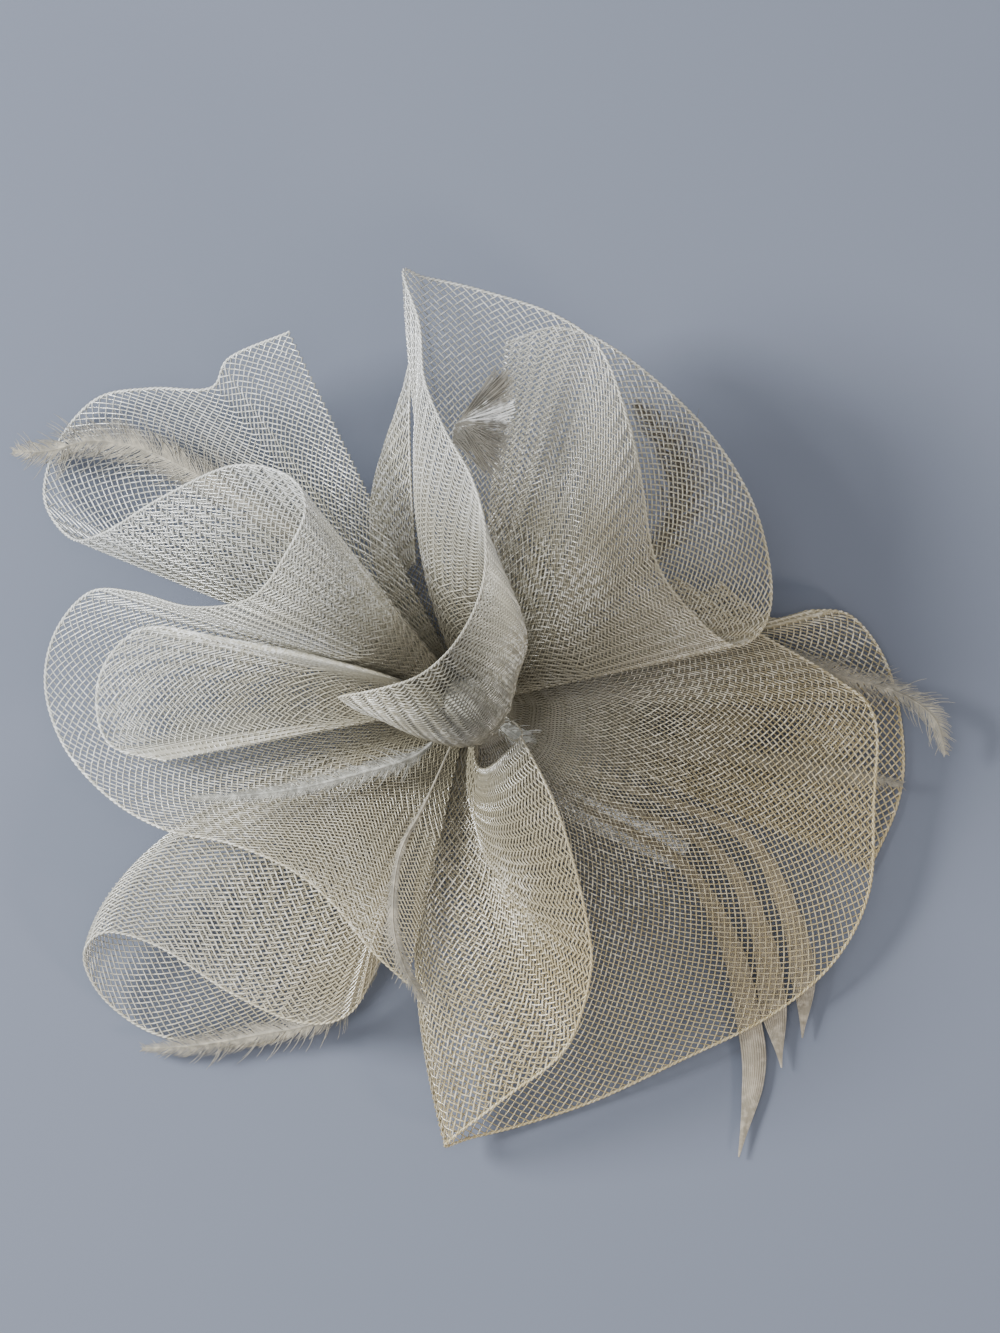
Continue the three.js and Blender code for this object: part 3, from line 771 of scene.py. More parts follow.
def metal_finish(colours, heading):
    """Fine lines along the clip's heading, dulled in patches."""
    finish = Finish("clip_steel", Metallic=1.0)
    place = finish.place()
    grain = finish.node(
        "ShaderNodeMapping",
        {"vector_type": "TEXTURE"},
        {"Vector": place, "Rotation": (0, 0, heading), "Scale": (14, 1, 1)},
    )
    lines = finish.noise(grain, 2600.0, 3.0)
    wear = finish.noise(place, 70.0, 4.0)
    dulled = darker(colours.metal, 0.7)
    tone = finish.mix(finish.spread(wear, 0.45, 0.7), colours.metal, dulled)
    roughness = finish.spread(lines, *NOISE_SPAN, 0.16, 0.34)
    bump = finish.bump(lines, 0.00005, 0.4)
    return finish.shade(Base_Color=tone, Roughness=roughness, Normal=bump)


def floor_finish(colours):
    finish = Finish("floor_paper", Specular_IOR_Level=0.2)
    place = finish.place()
    lighter = tuple(1.02 * c for c in colours.floor)
    tone = finish.mix(finish.noise(place, 6.0), colours.floor, lighter)
    roughness = finish.spread(finish.noise(place, 40.0), 0, 1, 0.85, 0.95)
    return finish.shade(Base_Color=tone, Roughness=roughness)


# Shapes

UP = np.array([0, 0, 1.0])
MARKS_PER_ROW = 60  # on a loop's free edge, for measuring along it
MARKS_PER_POINT = 50  # on a feather's shaft
SPARSE_BELOW = 0.42  # nearer the core than this share of the width, a strand has fewer points
SPARSE_STEP = 3  # one point in so many is kept there
CORD_STEPS = 7  # in one twist of a free edge's cord
PLY_HALF_SIZES = 0.0003, 0.00028  # across and out
THREAD_RADIUS = 0.0003  # of the sewing thread
SHAFT_RADIUS = 0.0004  # of a feather with free barbs, where it leaves the core
BLADE_SHAFT_RADIUS = 0.0003
BARB_ASPECT = 1.8  # a barb's width over its thickness


def spline(points, at):
    """Points on the smooth curve through the given ones, at row numbers."""
    ends = 2 * points[:1] - points[1:2], 2 * points[-1:] - points[-2:-1]
    padded = np.concatenate([ends[0], points, ends[1]])
    row = np.clip(np.floor(at).astype(int), 0, len(points) - 2)
    past = (at - row)[..., None]
    a, b, c, d = (padded[row + k] for k in range(4))
    leave, arrive = (c - a) / 2, (d - b) / 2
    cubic = 2 * (b - c) + leave + arrive
    square = 3 * (c - b) - 2 * leave - arrive
    return b + leave * past + square * past**2 + cubic * past**3


def unit(vectors):
    return vectors / np.maximum(np.linalg.norm(vectors, axis=-1, keepdims=True), 1e-12)


class Loop:
    """One length of crin gathered on the core, as a surface of rows and of shares of its width."""

    def __init__(self, rows, sizes):
        table = np.array(rows, float)
        self.rims = table[:, :3] * sizes.width
        push = table[:, [4, 5, 3]] * sizes.width
        flat = self.rims / 2 + push
        flat[:, 2] = 0
        self.reach = CORE_RADIUS + sizes.root_gap
        self.roots = unit(flat) * self.reach
        self.roots[:, 2] = CORE_LOW[2] + table[:, 6] * CORE_HEIGHT
        self.bellies = (self.roots + self.rims) / 2 + 2 * push
        self.width = sizes.width
        self.marks = np.linspace(0, len(rows) - 1, MARKS_PER_ROW * (len(rows) - 1) + 1)
        steps = np.diff(spline(self.rims, self.marks), axis=0)
        self.lengths = np.concatenate([[0], np.cumsum(np.linalg.norm(steps, axis=1))])

    def point(self, row, share):
        root = spline(self.roots, row)
        root[..., :2] *= self.reach / np.linalg.norm(root[..., :2], axis=-1, keepdims=True)
        share = share[..., None]
        curve = root * (1 - share) ** 2 + spline(self.bellies, row) * 2 * share * (1 - share)
        return curve + spline(self.rims, row) * share**2 + CORE_AXIS

    def facing(self, row, share):
        """The surface's normal."""
        step = 0.02
        last = len(self.rims) - 1
        before, after = np.maximum(row - step, 0), np.minimum(row + step, last)
        along = self.point(after, share) - self.point(before, share)
        inner, outer = np.maximum(share - step, 0), np.minimum(share + step, 1)
        out = self.point(row, outer) - self.point(row, inner)
        return unit(np.cross(out, along))

    def row_at(self, length):
        return np.interp(length, self.lengths, self.marks)

    def length_at(self, row):
        return np.interp(row, self.marks, self.lengths)


class Threads:
    """Thin tubes of one piece, gathered up and then made one mesh."""

    def __init__(self):
        self.points = []
        self.faces = []
        self.places = []
        self.tones = []
        self.count = 0
        self.paths = 0

    def add(self, paths, ups, widths, heights, sides=3, keep=None, capped=False, tone=0.5):
        """Adds a tube round each path, an array (path, point, 3). Ups say which way is up there,
        widths and heights are half sizes, keep says which points of a path are used, and tone
        is how pale they are, from 0 to 1."""
        number, length = paths.shape[:2]
        ahead = unit(np.gradient(paths, axis=1))
        across = unit(np.cross(ahead, ups))
        up = np.cross(across, ahead)
        turn = math.pi / 2 + 2 * math.pi * np.arange(sides) / sides
        wide = np.broadcast_to(widths, (number, length))[..., None, None]
        high = np.broadcast_to(heights, (number, length))[..., None, None]
        ring = np.cos(turn)[:, None] * across[:, :, None] * wide
        ring = ring + np.sin(turn)[:, None] * up[:, :, None] * high
        points = paths[:, :, None] + ring
        index = np.arange(points[..., 0].size).reshape(number, length, sides)
        after = np.roll(index, -1, axis=2)
        quads = np.stack([index[:, :-1], index[:, 1:], after[:, 1:], after[:, :-1]], axis=-1)
        place = np.linspace(0, 1, length)
        band = self.paths + np.arange(number)[:, None] + np.arange(sides + 1) / sides
        corners = np.zeros(quads.shape + (2,))
        corners[..., [0, 3], 0] = place[:-1][None, :, None, None]
        corners[..., [1, 2], 0] = place[1:][None, :, None, None]
        corners[..., [0, 1], 1] = band[:, None, :-1, None]
        corners[..., [2, 3], 1] = band[:, None, 1:, None]
        if keep is not None:
            used = keep[:, :-1] & keep[:, 1:]
            quads, corners = quads[used], corners[used]
        quads = quads.reshape(-1, 4)
        names, quads = np.unique(quads, return_inverse=True)
        self.points.append(points.reshape(-1, 3)[names])
        tones = np.broadcast_to(np.asarray(tone)[..., None], points.shape[:-1])
        self.tones.append(tones.reshape(-1)[names])
        self.faces.extend((quads.reshape(-1, 4) + self.count).tolist())
        self.places.append(corners.reshape(-1, 2))
        if capped:
            ends = np.searchsorted(names, np.stack([index[:, 0, ::-1], index[:, -1]]))
            self.faces.extend((ends.reshape(-1, sides) + self.count).tolist())
            spot = np.broadcast_to(band[:, :-1], (2, number, sides))
            self.places.append(np.stack([np.zeros(spot.shape), spot], axis=-1).reshape(-1, 2))
        self.count += len(names)
        self.paths += number

    def piece(self, name, finish):
        mesh = bpy.data.meshes.new(name)
        mesh.from_pydata(np.concatenate(self.points).tolist(), [], self.faces)
        places = np.concatenate(self.places)
        places[:, 1] /= self.paths
        mesh.uv_layers.new(name="OFBake").data.foreach_set("uv", places.ravel())
        tones = mesh.attributes.new(TONE, "FLOAT", "POINT")
        tones.data.foreach_set("value", np.concatenate(self.tones))
        mesh.shade_smooth()
        mesh.materials.append(finish)
        piece = bpy.data.objects.new(name, mesh)
        bpy.context.scene.collection.objects.link(piece)
        return piece


def strands(threads, loop, first, last, lean, sizes):
    """The strands between two rows that lean forward (1) or back (-1) on their way out. Each has
    a point in the middle of each pass over or under two others, and fewer near the core."""
    pitch = sizes.cell * math.sqrt(2)
    crossings = 2 * loop.width / pitch
    low, high = loop.length_at(first), loop.length_at(last)
    start, end = (low - loop.width, high) if lean > 0 else (low, high + loop.width)
    number = np.arange(math.ceil(start / pitch), math.floor(end / pitch) + 1)
    middles = np.arange(0.5 if lean > 0 else 1.5, crossings - 0.5, 2)
    sparse = middles / crossings < SPARSE_BELOW
    middles = middles[~sparse | (np.arange(len(middles)) % SPARSE_STEP == 0)]
    shares = np.concatenate([[0], middles / crossings, [1]])
    at_rim = number[:, None] * pitch
    enter, leave = (low - at_rim) * lean / loop.width, (high - at_rim) * lean / loop.width
    enter, leave = np.minimum(enter, leave), np.maximum(enter, leave)
    enter, leave = np.clip(enter, 0, 1), np.clip(leave, 0, 1)
    inside = (shares > enter) & (shares < leave)
    keep = inside.copy()
    keep[:, :-1] |= inside[:, 1:]
    keep[:, 1:] |= inside[:, :-1]
    share = np.clip(shares, enter, leave)
    row = loop.row_at(np.clip(at_rim + lean * loop.width * share, low, high))
    phase = 2 * number[:, None] + lean * np.concatenate([[0], middles, [0]]) - 0.5
    over = np.where(np.mod(np.round(phase), 4) < 2, 1.0, -1.0) * lean
    over[:, [0, -1]] = 0
    facing = loop.facing(row, share)
    paths = loop.point(row, share) + facing * over[..., None] * sizes.crimp
    # Painted light and shade: pale where the strand rises over others towards the braid's upper side,
    # dark where it sinks under them.
    tone = 0.5 + 0.5 * over * np.sign(facing[..., 2])
    halves = sizes.strand_width / 2, sizes.strand_height / 2
    threads.add(paths, facing, *halves, keep=keep, tone=tone)


def edge_cord(threads, loop, first, last, sizes):
    """The free edge's cord of two twisted plies."""
    low, high = loop.length_at(first), loop.length_at(last)
    steps = max(int((high - low) / sizes.cord_pitch * CORD_STEPS), CORD_STEPS + 1)
    length = np.linspace(low, high, steps)
    row = loop.row_at(length)
    share = np.ones(steps)
    middle, facing = loop.point(row, share), loop.facing(row, share)
    out = unit(np.cross(unit(np.gradient(middle, axis=0)), facing))
    for ply in range(2):
        angle = 2 * math.pi * length / sizes.cord_pitch + math.pi * ply
        aside = np.sin(angle)[:, None] * facing + np.cos(angle)[:, None] * out
        path = middle + aside * sizes.cord_radius
        # Painted light and shade: each ply is pale on the cord's upper side and dark underneath.
        tone = 0.5 + 0.5 * np.sin(angle) * np.sign(facing[:, 2])
        place = path[None], facing[None]
        threads.add(*place, *PLY_HALF_SIZES, sides=4, capped=True, tone=tone[None])


def feather_shaft(name, sizes, crin):
    """The shaft's closely spaced points, the vane's half width there and the lengths to them."""
    level, rows = FEATHERS[name]
    table = np.array(rows, float)
    points = table[:, :3] * crin.width
    quill = unit(points[:1] * (1, 1, 0)) * (CORE_RADIUS + crin.root_gap)
    quill[:, 2] = CORE_LOW[2] + level * CORE_HEIGHT
    points = np.concatenate([quill, points])
    vane = np.concatenate([[0], table[:, 3]])[:, None]
    marks = np.linspace(0, len(rows), MARKS_PER_POINT * len(rows) + 1)
    line = spline(points, marks) + CORE_AXIS
    widths = sizes.quill_width + np.maximum(spline(vane, marks)[:, 0], 0) * sizes.vane_width
    lengths = np.concatenate([[0], np.cumsum(np.linalg.norm(np.diff(line, axis=0), axis=1))])
    return line, widths / 2, lengths


def at_length(values, lengths, wanted):
    """The rows of values at the wanted lengths along a line."""
    columns = [np.interp(wanted, lengths, values[:, k]) for k in range(values.shape[1])]
    return np.stack(columns, axis=-1)


def feather_barbs(threads, name, sizes, crin, rng):
    """Barbs that leave both sides of the shaft, sweep towards its tip and droop a little. They
    hang together in clumps, and a few stray ones are longer and stand off more."""
    unevenness = 0.3  # of the gaps, as a share of them
    shortest, longest = 0.8, 1.15  # as shares of the vane
    clump_size = 9  # barbs
    clump_sway, barb_sway = 0.12, 0.06  # in radians
    stray_share = 0.12
    stray_turn = 0.25  # in radians
    stray_growth = 0.7
    sweep_angle = 0.7  # in radians, from straight out
    curl = 0.3  # in radians, from root to tip
    sag = 0.2  # as a share of its length
    narrowing = 0.75
    first_barb, full_at = 0.35, 0.1  # share of full length, and of the shaft where it is reached
    tip_slope, tip_tuft = 0.9, 0.004  # how long a barb may be near the tip
    tip_gap = 0.0004
    line, half, lengths = feather_shaft(name, sizes, crin)
    total = lengths[-1]
    fluff, bare = PLUMES[name]
    wanted = np.arange(bare * total, total - tip_gap, sizes.barb_gap)
    count = len(wanted)
    wanted = wanted + rng.uniform(-unevenness, unevenness, count) * sizes.barb_gap
    start = at_length(line, lengths, wanted)
    ahead = unit(at_length(np.gradient(line, axis=0), lengths, wanted))
    across = unit(np.cross(UP, ahead))
    up = np.cross(ahead, across)
    reach = np.interp(wanted, lengths, half) * rng.uniform(shortest, longest, count) * fluff
    clumps = rng.uniform(-clump_sway, clump_sway, count // clump_size + 1)
    clump = np.repeat(clumps, clump_size)[:count]
    steps = np.linspace(0, 1, 6)
    rise = np.clip((wanted - bare * total) / (full_at * total), first_barb, 1)
    for side in (-1, 1):
        stray = rng.random(count) < stray_share
        sway = rng.uniform(-barb_sway, barb_sway, count)
        sweep = sweep_angle + clump * side + sway - stray_turn * stray
        length = reach / np.cos(sweep) * rise * (1 + stray_growth * stray)
        length = np.minimum(length, (total - wanted) * tip_slope + tip_tuft)
        angle = sweep[:, None] + steps * curl
        out = np.cos(angle)[..., None] * across[:, None] * side
        out = out + np.sin(angle)[..., None] * ahead[:, None]
        paths = start[:, None] + out * (length[:, None] * steps)[..., None]
        droop = -sag * length[:, None] * steps**2
        paths = paths + up[:, None] * droop[..., None]
        taper = sizes.barb_radius * (1 - narrowing * steps)
        ups = np.broadcast_to(up[:, None], paths.shape)
        threads.add(paths, ups, taper * BARB_ASPECT, taper, capped=True)
    feather_rib(threads, line, lengths, SHAFT_RADIUS)


def feather_fan(threads, name, sizes, crin, rng):
    """Barbs that spread like a fan from a short stretch of the shaft to the vane's straight end,
    the palest of them a little to one side of the middle."""
    number = 300
    first_root, last_root = 0.78, 0.86  # as shares of the shaft
    raggedness = 0.006  # how much shorter some barbs are
    rounding = 0.002  # how much shorter the outermost are
    sag = 0.24  # of the outermost, as a share of the half width
    arch, flattest = 0.012, 0.6  # four times the highest arch, and the lowest as its share
    palest, pale_spread = 0.25, 0.25  # from the middle, as shares of the half width
    dullest = 0.7  # the least a pale barb is lightened, as a share of the most
    dark_tone = 0.3
    root_size, narrowing = 1.5, 0.8  # in barb radii
    pale_growth = 0.6  # how much thicker the palest are
    line, half, lengths = feather_shaft(name, sizes, crin)
    place = np.sort(rng.uniform(-1, 1, number))
    roots = lengths[-1] * rng.uniform(first_root, last_root, number)
    start = at_length(line, lengths, roots)
    ahead = unit(line[-1] - line[-8])
    across = unit(np.cross(UP, ahead))
    end = line[-1] + across * (half[-1] * place)[:, None]
    short = rng.uniform(0, raggedness, number) + rounding * np.abs(place)
    end = end - ahead * short[:, None]
    end[:, 2] -= sag * half[-1] * np.abs(place)
    steps = np.linspace(0, 1, 8)
    paths = start[:, None] + (end - start)[:, None] * steps[:, None]
    paths[..., 2] += arch * (steps * (1 - steps)) * rng.uniform(flattest, 1, number)[:, None]
    pale = np.exp(-(((place - palest) / pale_spread) ** 2)) * rng.uniform(dullest, 1, number)
    tone = (dark_tone + (1 - dark_tone) * pale)[:, None] * np.ones(len(steps))
    taper = sizes.barb_radius * (root_size - narrowing * steps)
    taper = taper * (1 + pale_growth * pale[:, None])
    ups = np.broadcast_to(UP, paths.shape)
    threads.add(paths, ups, taper * BARB_ASPECT, taper, capped=True, tone=tone)
    covered = int(last_root * len(line))
    feather_rib(threads, line[:covered], lengths[:covered], SHAFT_RADIUS)


def feather_rib(threads, line, lengths, radius):
    """The shaft itself, thinner towards its tip."""
    spacing, fewest = 0.002, 8
    tip = 0.25  # as a share of the radius
    total = lengths[-1]
    wanted = np.linspace(0, total, max(int(total / spacing), fewest))
    shaft = at_length(line, lengths, wanted)
    taper = np.interp(wanted, [0, total], [radius, tip * radius])
    ups = np.broadcast_to(UP, shaft.shape)
    threads.add(shaft[None], ups[None], taper, taper, sides=6, capped=True)


def feather_blade(threads, name, sizes, crin):
    """A smooth narrow blade: its barbs lie along it and close up, with the shaft on top."""
    barbs, steps = 11, 90
    point, bluntness = 0.12, 0.02  # share of its length that narrows, and how blunt it ends
    sag = 0.2  # of its edges, as a share of its half width
    overlap = 1.3  # of neighbouring barbs
    thinnest, half_height = 0.00008, 0.00014
    shaft_lift = 0.0001
    line, half, lengths = feather_shaft(name, sizes, crin)
    total = lengths[-1]
    wanted = np.linspace(0, total, steps)
    middle = at_length(line, lengths, wanted)
    width = np.interp(wanted, lengths, half) * BLADE_WIDTH
    width = width * np.sqrt(np.clip((total - wanted) / (point * total), bluntness, 1))
    ahead = unit(np.gradient(middle, axis=0))
    across = unit(np.cross(UP, ahead))
    place = np.linspace(-1, 1, barbs)
    spread = across * (width * (1 - 0.5 / barbs))[:, None]
    paths = middle + place[:, None, None] * spread
    paths[..., 2] -= sag * width * place[:, None] ** 2
    ups = np.broadcast_to(UP, paths.shape)
    thick = np.maximum(width * overlap / barbs, thinnest)
    threads.add(paths, ups, thick, half_height, sides=4, capped=True)
    feather_rib(threads, line + UP * shaft_lift, lengths, BLADE_SHAFT_RADIUS)


def deselect_all():
    bpy.ops.object.select_all(action="DESELECT")


def start_from(primitive, name, **settings):
    """Adds a primitive with nothing else selected, and names it."""
    if bpy.context.object:
        deselect_all()
    primitive(**settings)
    piece = bpy.context.object
    piece.name = piece.data.name = name
    return piece


def pick(piece, kind, test):
    """Selects in edit mode the verts, edges or faces that pass a test, and no others."""
    modes = {"verts": "VERT", "edges": "EDGE", "faces": "FACE"}
    bpy.ops.mesh.select_mode(type=modes[kind])
    bpy.ops.mesh.select_all(action="DESELECT")
    mesh = bmesh.from_edit_mesh(piece.data)
    for item in getattr(mesh, kind):
        if test(item):
            item.select_set(True)
    mesh.select_flush_mode()
    bmesh.update_edit_mesh(piece.data)


def settle(piece, finish, angle=math.radians(40)):
    """Applies the place and the modifiers of a piece, smooths it and gives it its finish."""
    deselect_all()
    piece.select_set(True)
    bpy.context.view_layer.objects.active = piece
    bpy.ops.object.transform_apply(location=True, rotation=True, scale=True)
    for modifier in list(piece.modifiers):
        bpy.ops.object.modifier_apply(modifier=modifier.name)
    bpy.ops.object.shade_smooth_by_angle(angle=angle)
    piece.data.materials.clear()
    piece.data.materials.append(finish)
    return piece


def dress(piece, node):
    """The piece rides on the root and stands in for its node, which is hidden."""
    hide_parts(node)
    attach(piece, "root")


class FASCINATOR_OT_crin(bpy.types.Operator):
    """Weave every leaf of the crin loops and cord its free edge"""

    bl_idname = "fascinator.crin"
    bl_label = "Crin loops"

    def execute(self, context):
        sizes = context.scene.fascinator.crin
        colours = context.scene.fascinator.colours
        nylon, edge = nylon_finish(colours), cord_finish(colours)
        loops = {name: Loop(rows, sizes) for name, rows in LOOPS.items()}
        for node, name, first, last in LEAVES:
            loop = loops[name]
            woven, cord = Threads(), Threads()
            for lean in (1, -1):
                strands(woven, loop, first, last, lean, sizes)
            edge_cord(cord, loop, first, last, sizes)
            leaf = woven.piece(f"{node}_braid", nylon)
            hem = cord.piece(f"{node}_edge", edge)
            dress(leaf, node)
            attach(hem, "root")
            flat = float(loop.length_at(last) - loop.length_at(first)), sizes.width
        return {"FINISHED"}


class FASCINATOR_OT_feathers(bpy.types.Operator):
    """Grow each feather's shaft and barbs"""

    bl_idname = "fascinator.feathers"
    bl_label = "Feathers"

    def execute(self, context):
        settings = context.scene.fascinator
        colours = settings.colours
        finishes = {
            tint: feather_finish(f"feather_{tint}", tuple(getattr(colours, tint)), tip)
            for tint, tip in TIPS.items()
        }
        rng = np.random.default_rng(settings.feathers.seed)
        for node in FEATHERS:
            threads = Threads()
            if node in PLUMES:
                feather_barbs(threads, node, settings.feathers, settings.crin, rng)
            elif node in FANS:
                feather_fan(threads, node, settings.feathers, settings.crin, rng)
            else:
                feather_blade(threads, node, settings.feathers, settings.crin)
            finish = finishes[TINTS.get(node, "dun")]
            dress(threads.piece(f"{node}_plume", finish), node)
        return {"FINISHED"}


class FASCINATOR_OT_core(bpy.types.Operator):
    """Pleat and bind the sewn core"""

    bl_idname = "fascinator.core"
    bl_label = "Sewn core"

    def execute(self, context):
        colours = context.scene.fascinator.colours
        pleats, pleat_depth = 36, 0.035  # the depth as a share of the radius
        folds, fold_depth, fold_lean = 5, 0.02, 300  # the lean in radians to the metre
        rings, smallest_ring = 6, 0.08
        shoulder = CORE_RADIUS * CORE_SHOULDER
        core = start_from(
            bpy.ops.mesh.primitive_cylinder_add,
            "sewn_core_pleats",
            vertices=pleats * 4,
            radius=CORE_RADIUS,
            depth=CORE_HEIGHT - shoulder,
            location=(CORE_AXIS[0], CORE_AXIS[1], (CORE_LOW[2] + CORE_HIGH[2] - shoulder) / 2),
        )
        bpy.ops.object.mode_set(mode="EDIT")
        pick(core, "faces", lambda face: face.normal.z > 0.9)
        for ring in range(1, rings + 1):
            below = math.pi / 2 * (ring - 1) / rings
            above = math.pi / 2 * ring / rings
            lift = shoulder * (math.sin(above) - math.sin(below))
            narrowing = max(math.cos(above), smallest_ring) / math.cos(below)
            bpy.ops.mesh.extrude_region_move(TRANSFORM_OT_translate={"value": (0, 0, lift)})
            bpy.ops.transform.resize(value=(narrowing, narrowing, 1))
        bpy.ops.object.mode_set(mode="OBJECT")
        settle(core, thread_finish(colours))
        for vertex in core.data.vertices:
            aside = vertex.co - Vector(CORE_AXIS)
            turn = math.atan2(aside.y, aside.x)
            depth = pleat_depth * (math.cos(turn * pleats) - 1)
            depth += fold_depth * math.sin(turn * folds + aside.z * fold_lean)
            vertex.co.x = CORE_AXIS[0] + aside.x * (1 + depth)
            vertex.co.y = CORE_AXIS[1] + aside.y * (1 + depth)
        dress(core, "sewn_core")
        threads = Threads()
        turns, turn_steps, bend_steps = 5, 240, 40
        climb, lowest, stand_off = 0.0009, 0.002, 0.0002
        turn = np.linspace(0, 2 * math.pi * turns, turn_steps)
        height = CORE_LOW[2] + lowest + climb * turn / (2 * math.pi)
        reach = CORE_RADIUS + stand_off
        wrap = np.stack([reach * np.cos(turn), reach * np.sin(turn), height], axis=-1) + CORE_AXIS
        corners = np.array(THREAD_LOOP) * context.scene.fascinator.crin.width
        bend = spline(corners, np.linspace(0, len(corners) - 1, bend_steps)) + CORE_AXIS
        halves = THREAD_RADIUS, THREAD_RADIUS
        for path in (wrap, bend):
            ups = np.broadcast_to(UP, path.shape)
            threads.add(path[None], ups[None], *halves, sides=6, capped=True)
        thread = threads.piece("sewing_thread", cord_finish(colours))
        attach(thread, "root")
        return {"FINISHED"}


class FASCINATOR_OT_base(bpy.types.Operator):
    """Cut the round felt base and soften its edge"""

    bl_idname = "fascinator.base"
    bl_label = "Felt base"

    def execute(self, context):
        rim, rounding = 0.004, 0.0009
        base = start_from(
            bpy.ops.mesh.primitive_cylinder_add,
            "felt_base_pad",
            vertices=96,
            radius=(BASE_HIGH[0] - BASE_LOW[0]) / 2,
            depth=BASE_HIGH[2] - BASE_LOW[2],
            location=tuple((BASE_LOW + BASE_HIGH) / 2),
        )
        bpy.ops.object.mode_set(mode="EDIT")
        pick(base, "faces", lambda face: abs(face.normal.z) > 0.9)
        bpy.ops.mesh.inset(thickness=rim)
        pick(base, "edges", lambda edge: edge.is_manifold and edge.calc_face_angle() > 1.2)
        bpy.ops.mesh.bevel(offset=rounding, segments=4)
        bpy.ops.object.mode_set(mode="OBJECT")
        settle(base, felt_finish(context.scene.fascinator.colours))
        dress(base, "felt_base")
        return {"FINISHED"}


class FASCINATOR_OT_clip(bpy.types.Operator):
    """Bend the flat metal hair clip out of one strip"""

    bl_idname = "fascinator.clip"
    bl_label = "Hair clip"

    def execute(self, context):
        height = 2 * CLIP_PLATE + CLIP_SLOT
        bend = height / 2
        straight = CLIP_LENGTH - bend
        clip = start_from(bpy.ops.mesh.primitive_plane_add, "hair_clip_strip", size=1)

        def at_bend(edge, lowest):
            return all(abs(v.co.x - bend) < 1e-5 and v.co.z > lowest for v in edge.verts)

        bpy.ops.object.mode_set(mode="EDIT")
        bpy.ops.transform.resize(value=(straight, CLIP_WIDTH, 1))
        middle = (CLIP_LENGTH + bend) / 2, 0, CLIP_PLATE / 2
        bpy.ops.transform.translate(value=middle)
        pick(clip, "edges", lambda edge: at_bend(edge, 0))
        bpy.ops.mesh.spin(steps=12, angle=math.pi, center=(bend, 0, bend), axis=(0, 1, 0))
        pick(clip, "edges", lambda edge: at_bend(edge, height - CLIP_PLATE))
        bpy.ops.mesh.extrude_region_move(TRANSFORM_OT_translate={"value": (straight, 0, 0)})
        bpy.ops.mesh.select_all(action="SELECT")
        bpy.ops.mesh.remove_doubles(threshold=1e-6)
        bpy.ops.mesh.normals_make_consistent(inside=False)
        bpy.ops.object.mode_set(mode="OBJECT")
        wall = clip.modifiers.new("plate", "SOLIDIFY")
        wall.thickness = CLIP_PLATE
        wall.offset = 0
        edges = clip.modifiers.new("edges", "BEVEL")
        edges.width = 0.0003
        edges.segments = 3
        turned = Matrix.Rotation(CLIP_HEADING, 4, "Z")
        clip.matrix_world = turned @ Matrix.Translation((-CLIP_TAIL, 0, 0))
        finish = metal_finish(context.scene.fascinator.colours, CLIP_HEADING)
        settle(clip, finish, math.radians(30))
        dress(clip, "hair_clip")
        return {"FINISHED"}


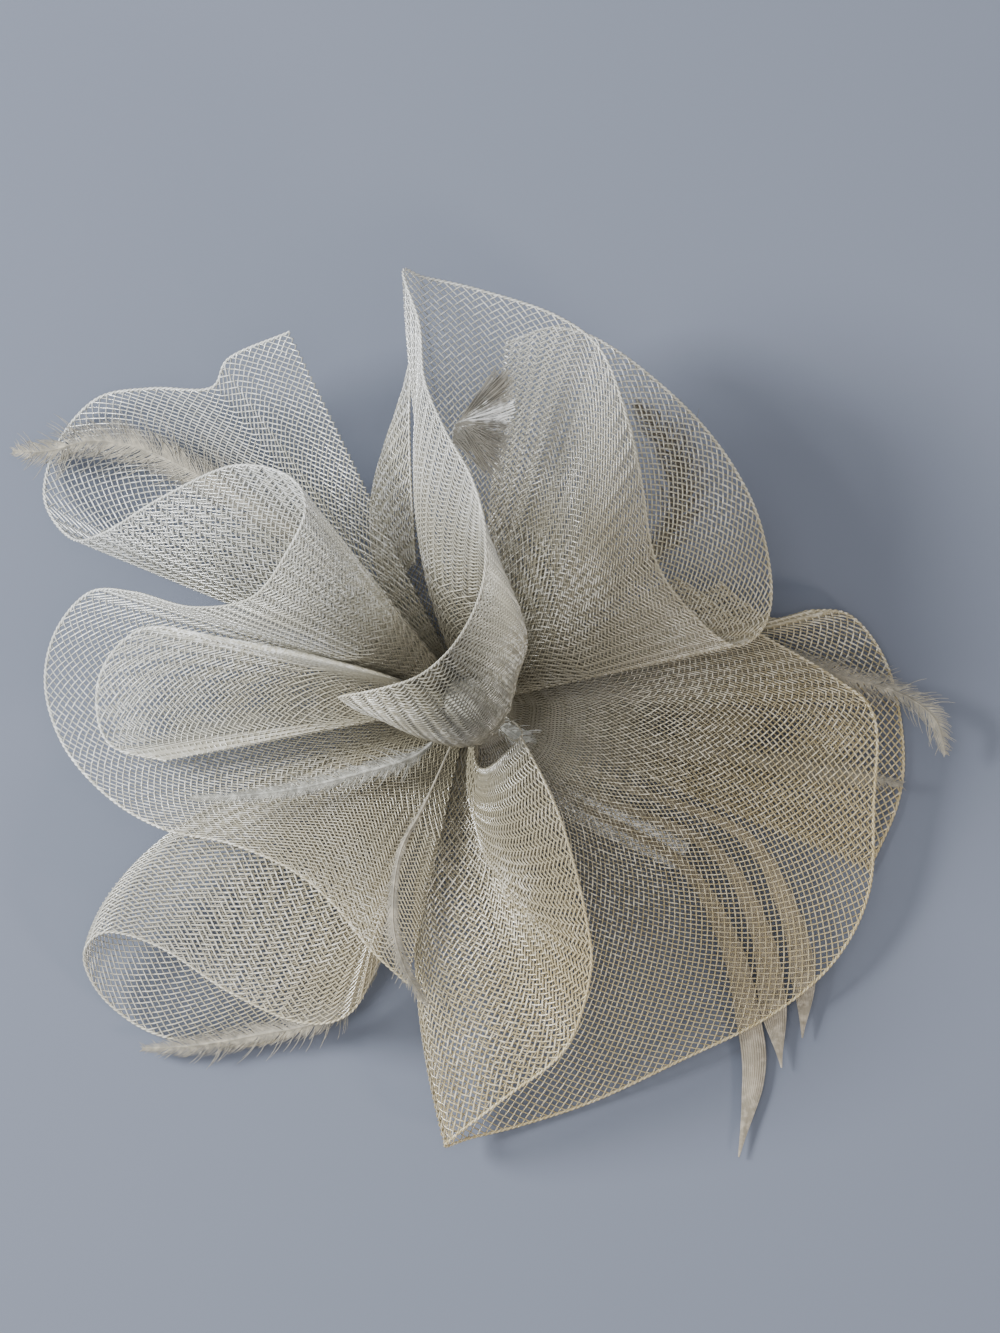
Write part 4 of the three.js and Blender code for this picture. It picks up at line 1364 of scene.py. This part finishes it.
class FASCINATOR_OT_stage(bpy.types.Operator):
    """Set out the floor, the lights and the camera straight above"""

    bl_idname = "fascinator.stage"
    bl_label = "Stage"

    def execute(self, context):
        floor_size, floor_height = 6, -0.0003
        view_width, camera_height = 0.3, 5.03
        view_middle = 0.0149, 0.0236
        focus_height = 0.03
        floor = start_from(
            bpy.ops.mesh.primitive_plane_add,
            "floor",
            size=floor_size,
            location=(0, 0, floor_height),
        )
        settle(floor, floor_finish(context.scene.fascinator.colours))
        world = bpy.data.worlds.new("studio")
        world.use_nodes = True
        sky = world.node_tree.nodes["Background"]
        sky.inputs["Color"].default_value = (0.92, 0.95, 1.0, 1)
        sky.inputs["Strength"].default_value = 0.45
        context.scene.world = world
        for name, place, size, power, colour in LIGHTS:
            lamp = bpy.data.lights.new(name, "AREA")
            lamp.shape = "DISK"
            lamp.size = size
            lamp.energy = power
            lamp.color = colour
            light = bpy.data.objects.new(name, lamp)
            light.location = place
            light.rotation_euler = (-Vector(place)).to_track_quat("-Z", "Y").to_euler()
            context.scene.collection.objects.link(light)
        lens = bpy.data.cameras.new("camera")
        lens.sensor_fit = "HORIZONTAL"
        lens.sensor_width = 36
        lens.lens = lens.sensor_width * (camera_height - focus_height) / view_width
        lens.clip_start, lens.clip_end = 0.5, 50
        camera = bpy.data.objects.new("camera", lens)
        camera.location = (*view_middle, camera_height)
        context.scene.collection.objects.link(camera)
        context.scene.camera = camera
        return {"FINISHED"}


class FASCINATOR_PT_panel(bpy.types.Panel):
    """The pieces of the fascinator and the sizes that a user would change"""

    bl_label = "Crin fascinator"
    bl_space_type = "VIEW_3D"
    bl_region_type = "UI"
    bl_category = "Fascinator"

    def draw(self, context):
        settings = context.scene.fascinator
        for group in (settings.crin, settings.feathers, settings.colours):
            box = self.layout.box()
            for name in group.__annotations__:
                box.prop(group, name)
        for operator in OPERATORS:
            self.layout.operator(operator.bl_idname)


OPERATORS = [
    FASCINATOR_OT_stage,
    FASCINATOR_OT_core,
    FASCINATOR_OT_base,
    FASCINATOR_OT_clip,
    FASCINATOR_OT_crin,
    FASCINATOR_OT_feathers,
]
CLASSES = [CrinSizes, FeatherSizes, Colours, Fascinator, *OPERATORS, FASCINATOR_PT_panel]


def register():
    for cls in CLASSES:
        bpy.utils.register_class(cls)
    bpy.types.Scene.fascinator = PointerProperty(type=Fascinator)


def unregister():
    del bpy.types.Scene.fascinator
    for cls in reversed(CLASSES):
        bpy.utils.unregister_class(cls)


def main():
    register()
    bpy.ops.fascinator.stage()
    bpy.ops.fascinator.core()
    bpy.ops.fascinator.base()
    bpy.ops.fascinator.clip()
    bpy.ops.fascinator.crin()
    bpy.ops.fascinator.feathers()


if __name__ == "__main__":
    main()
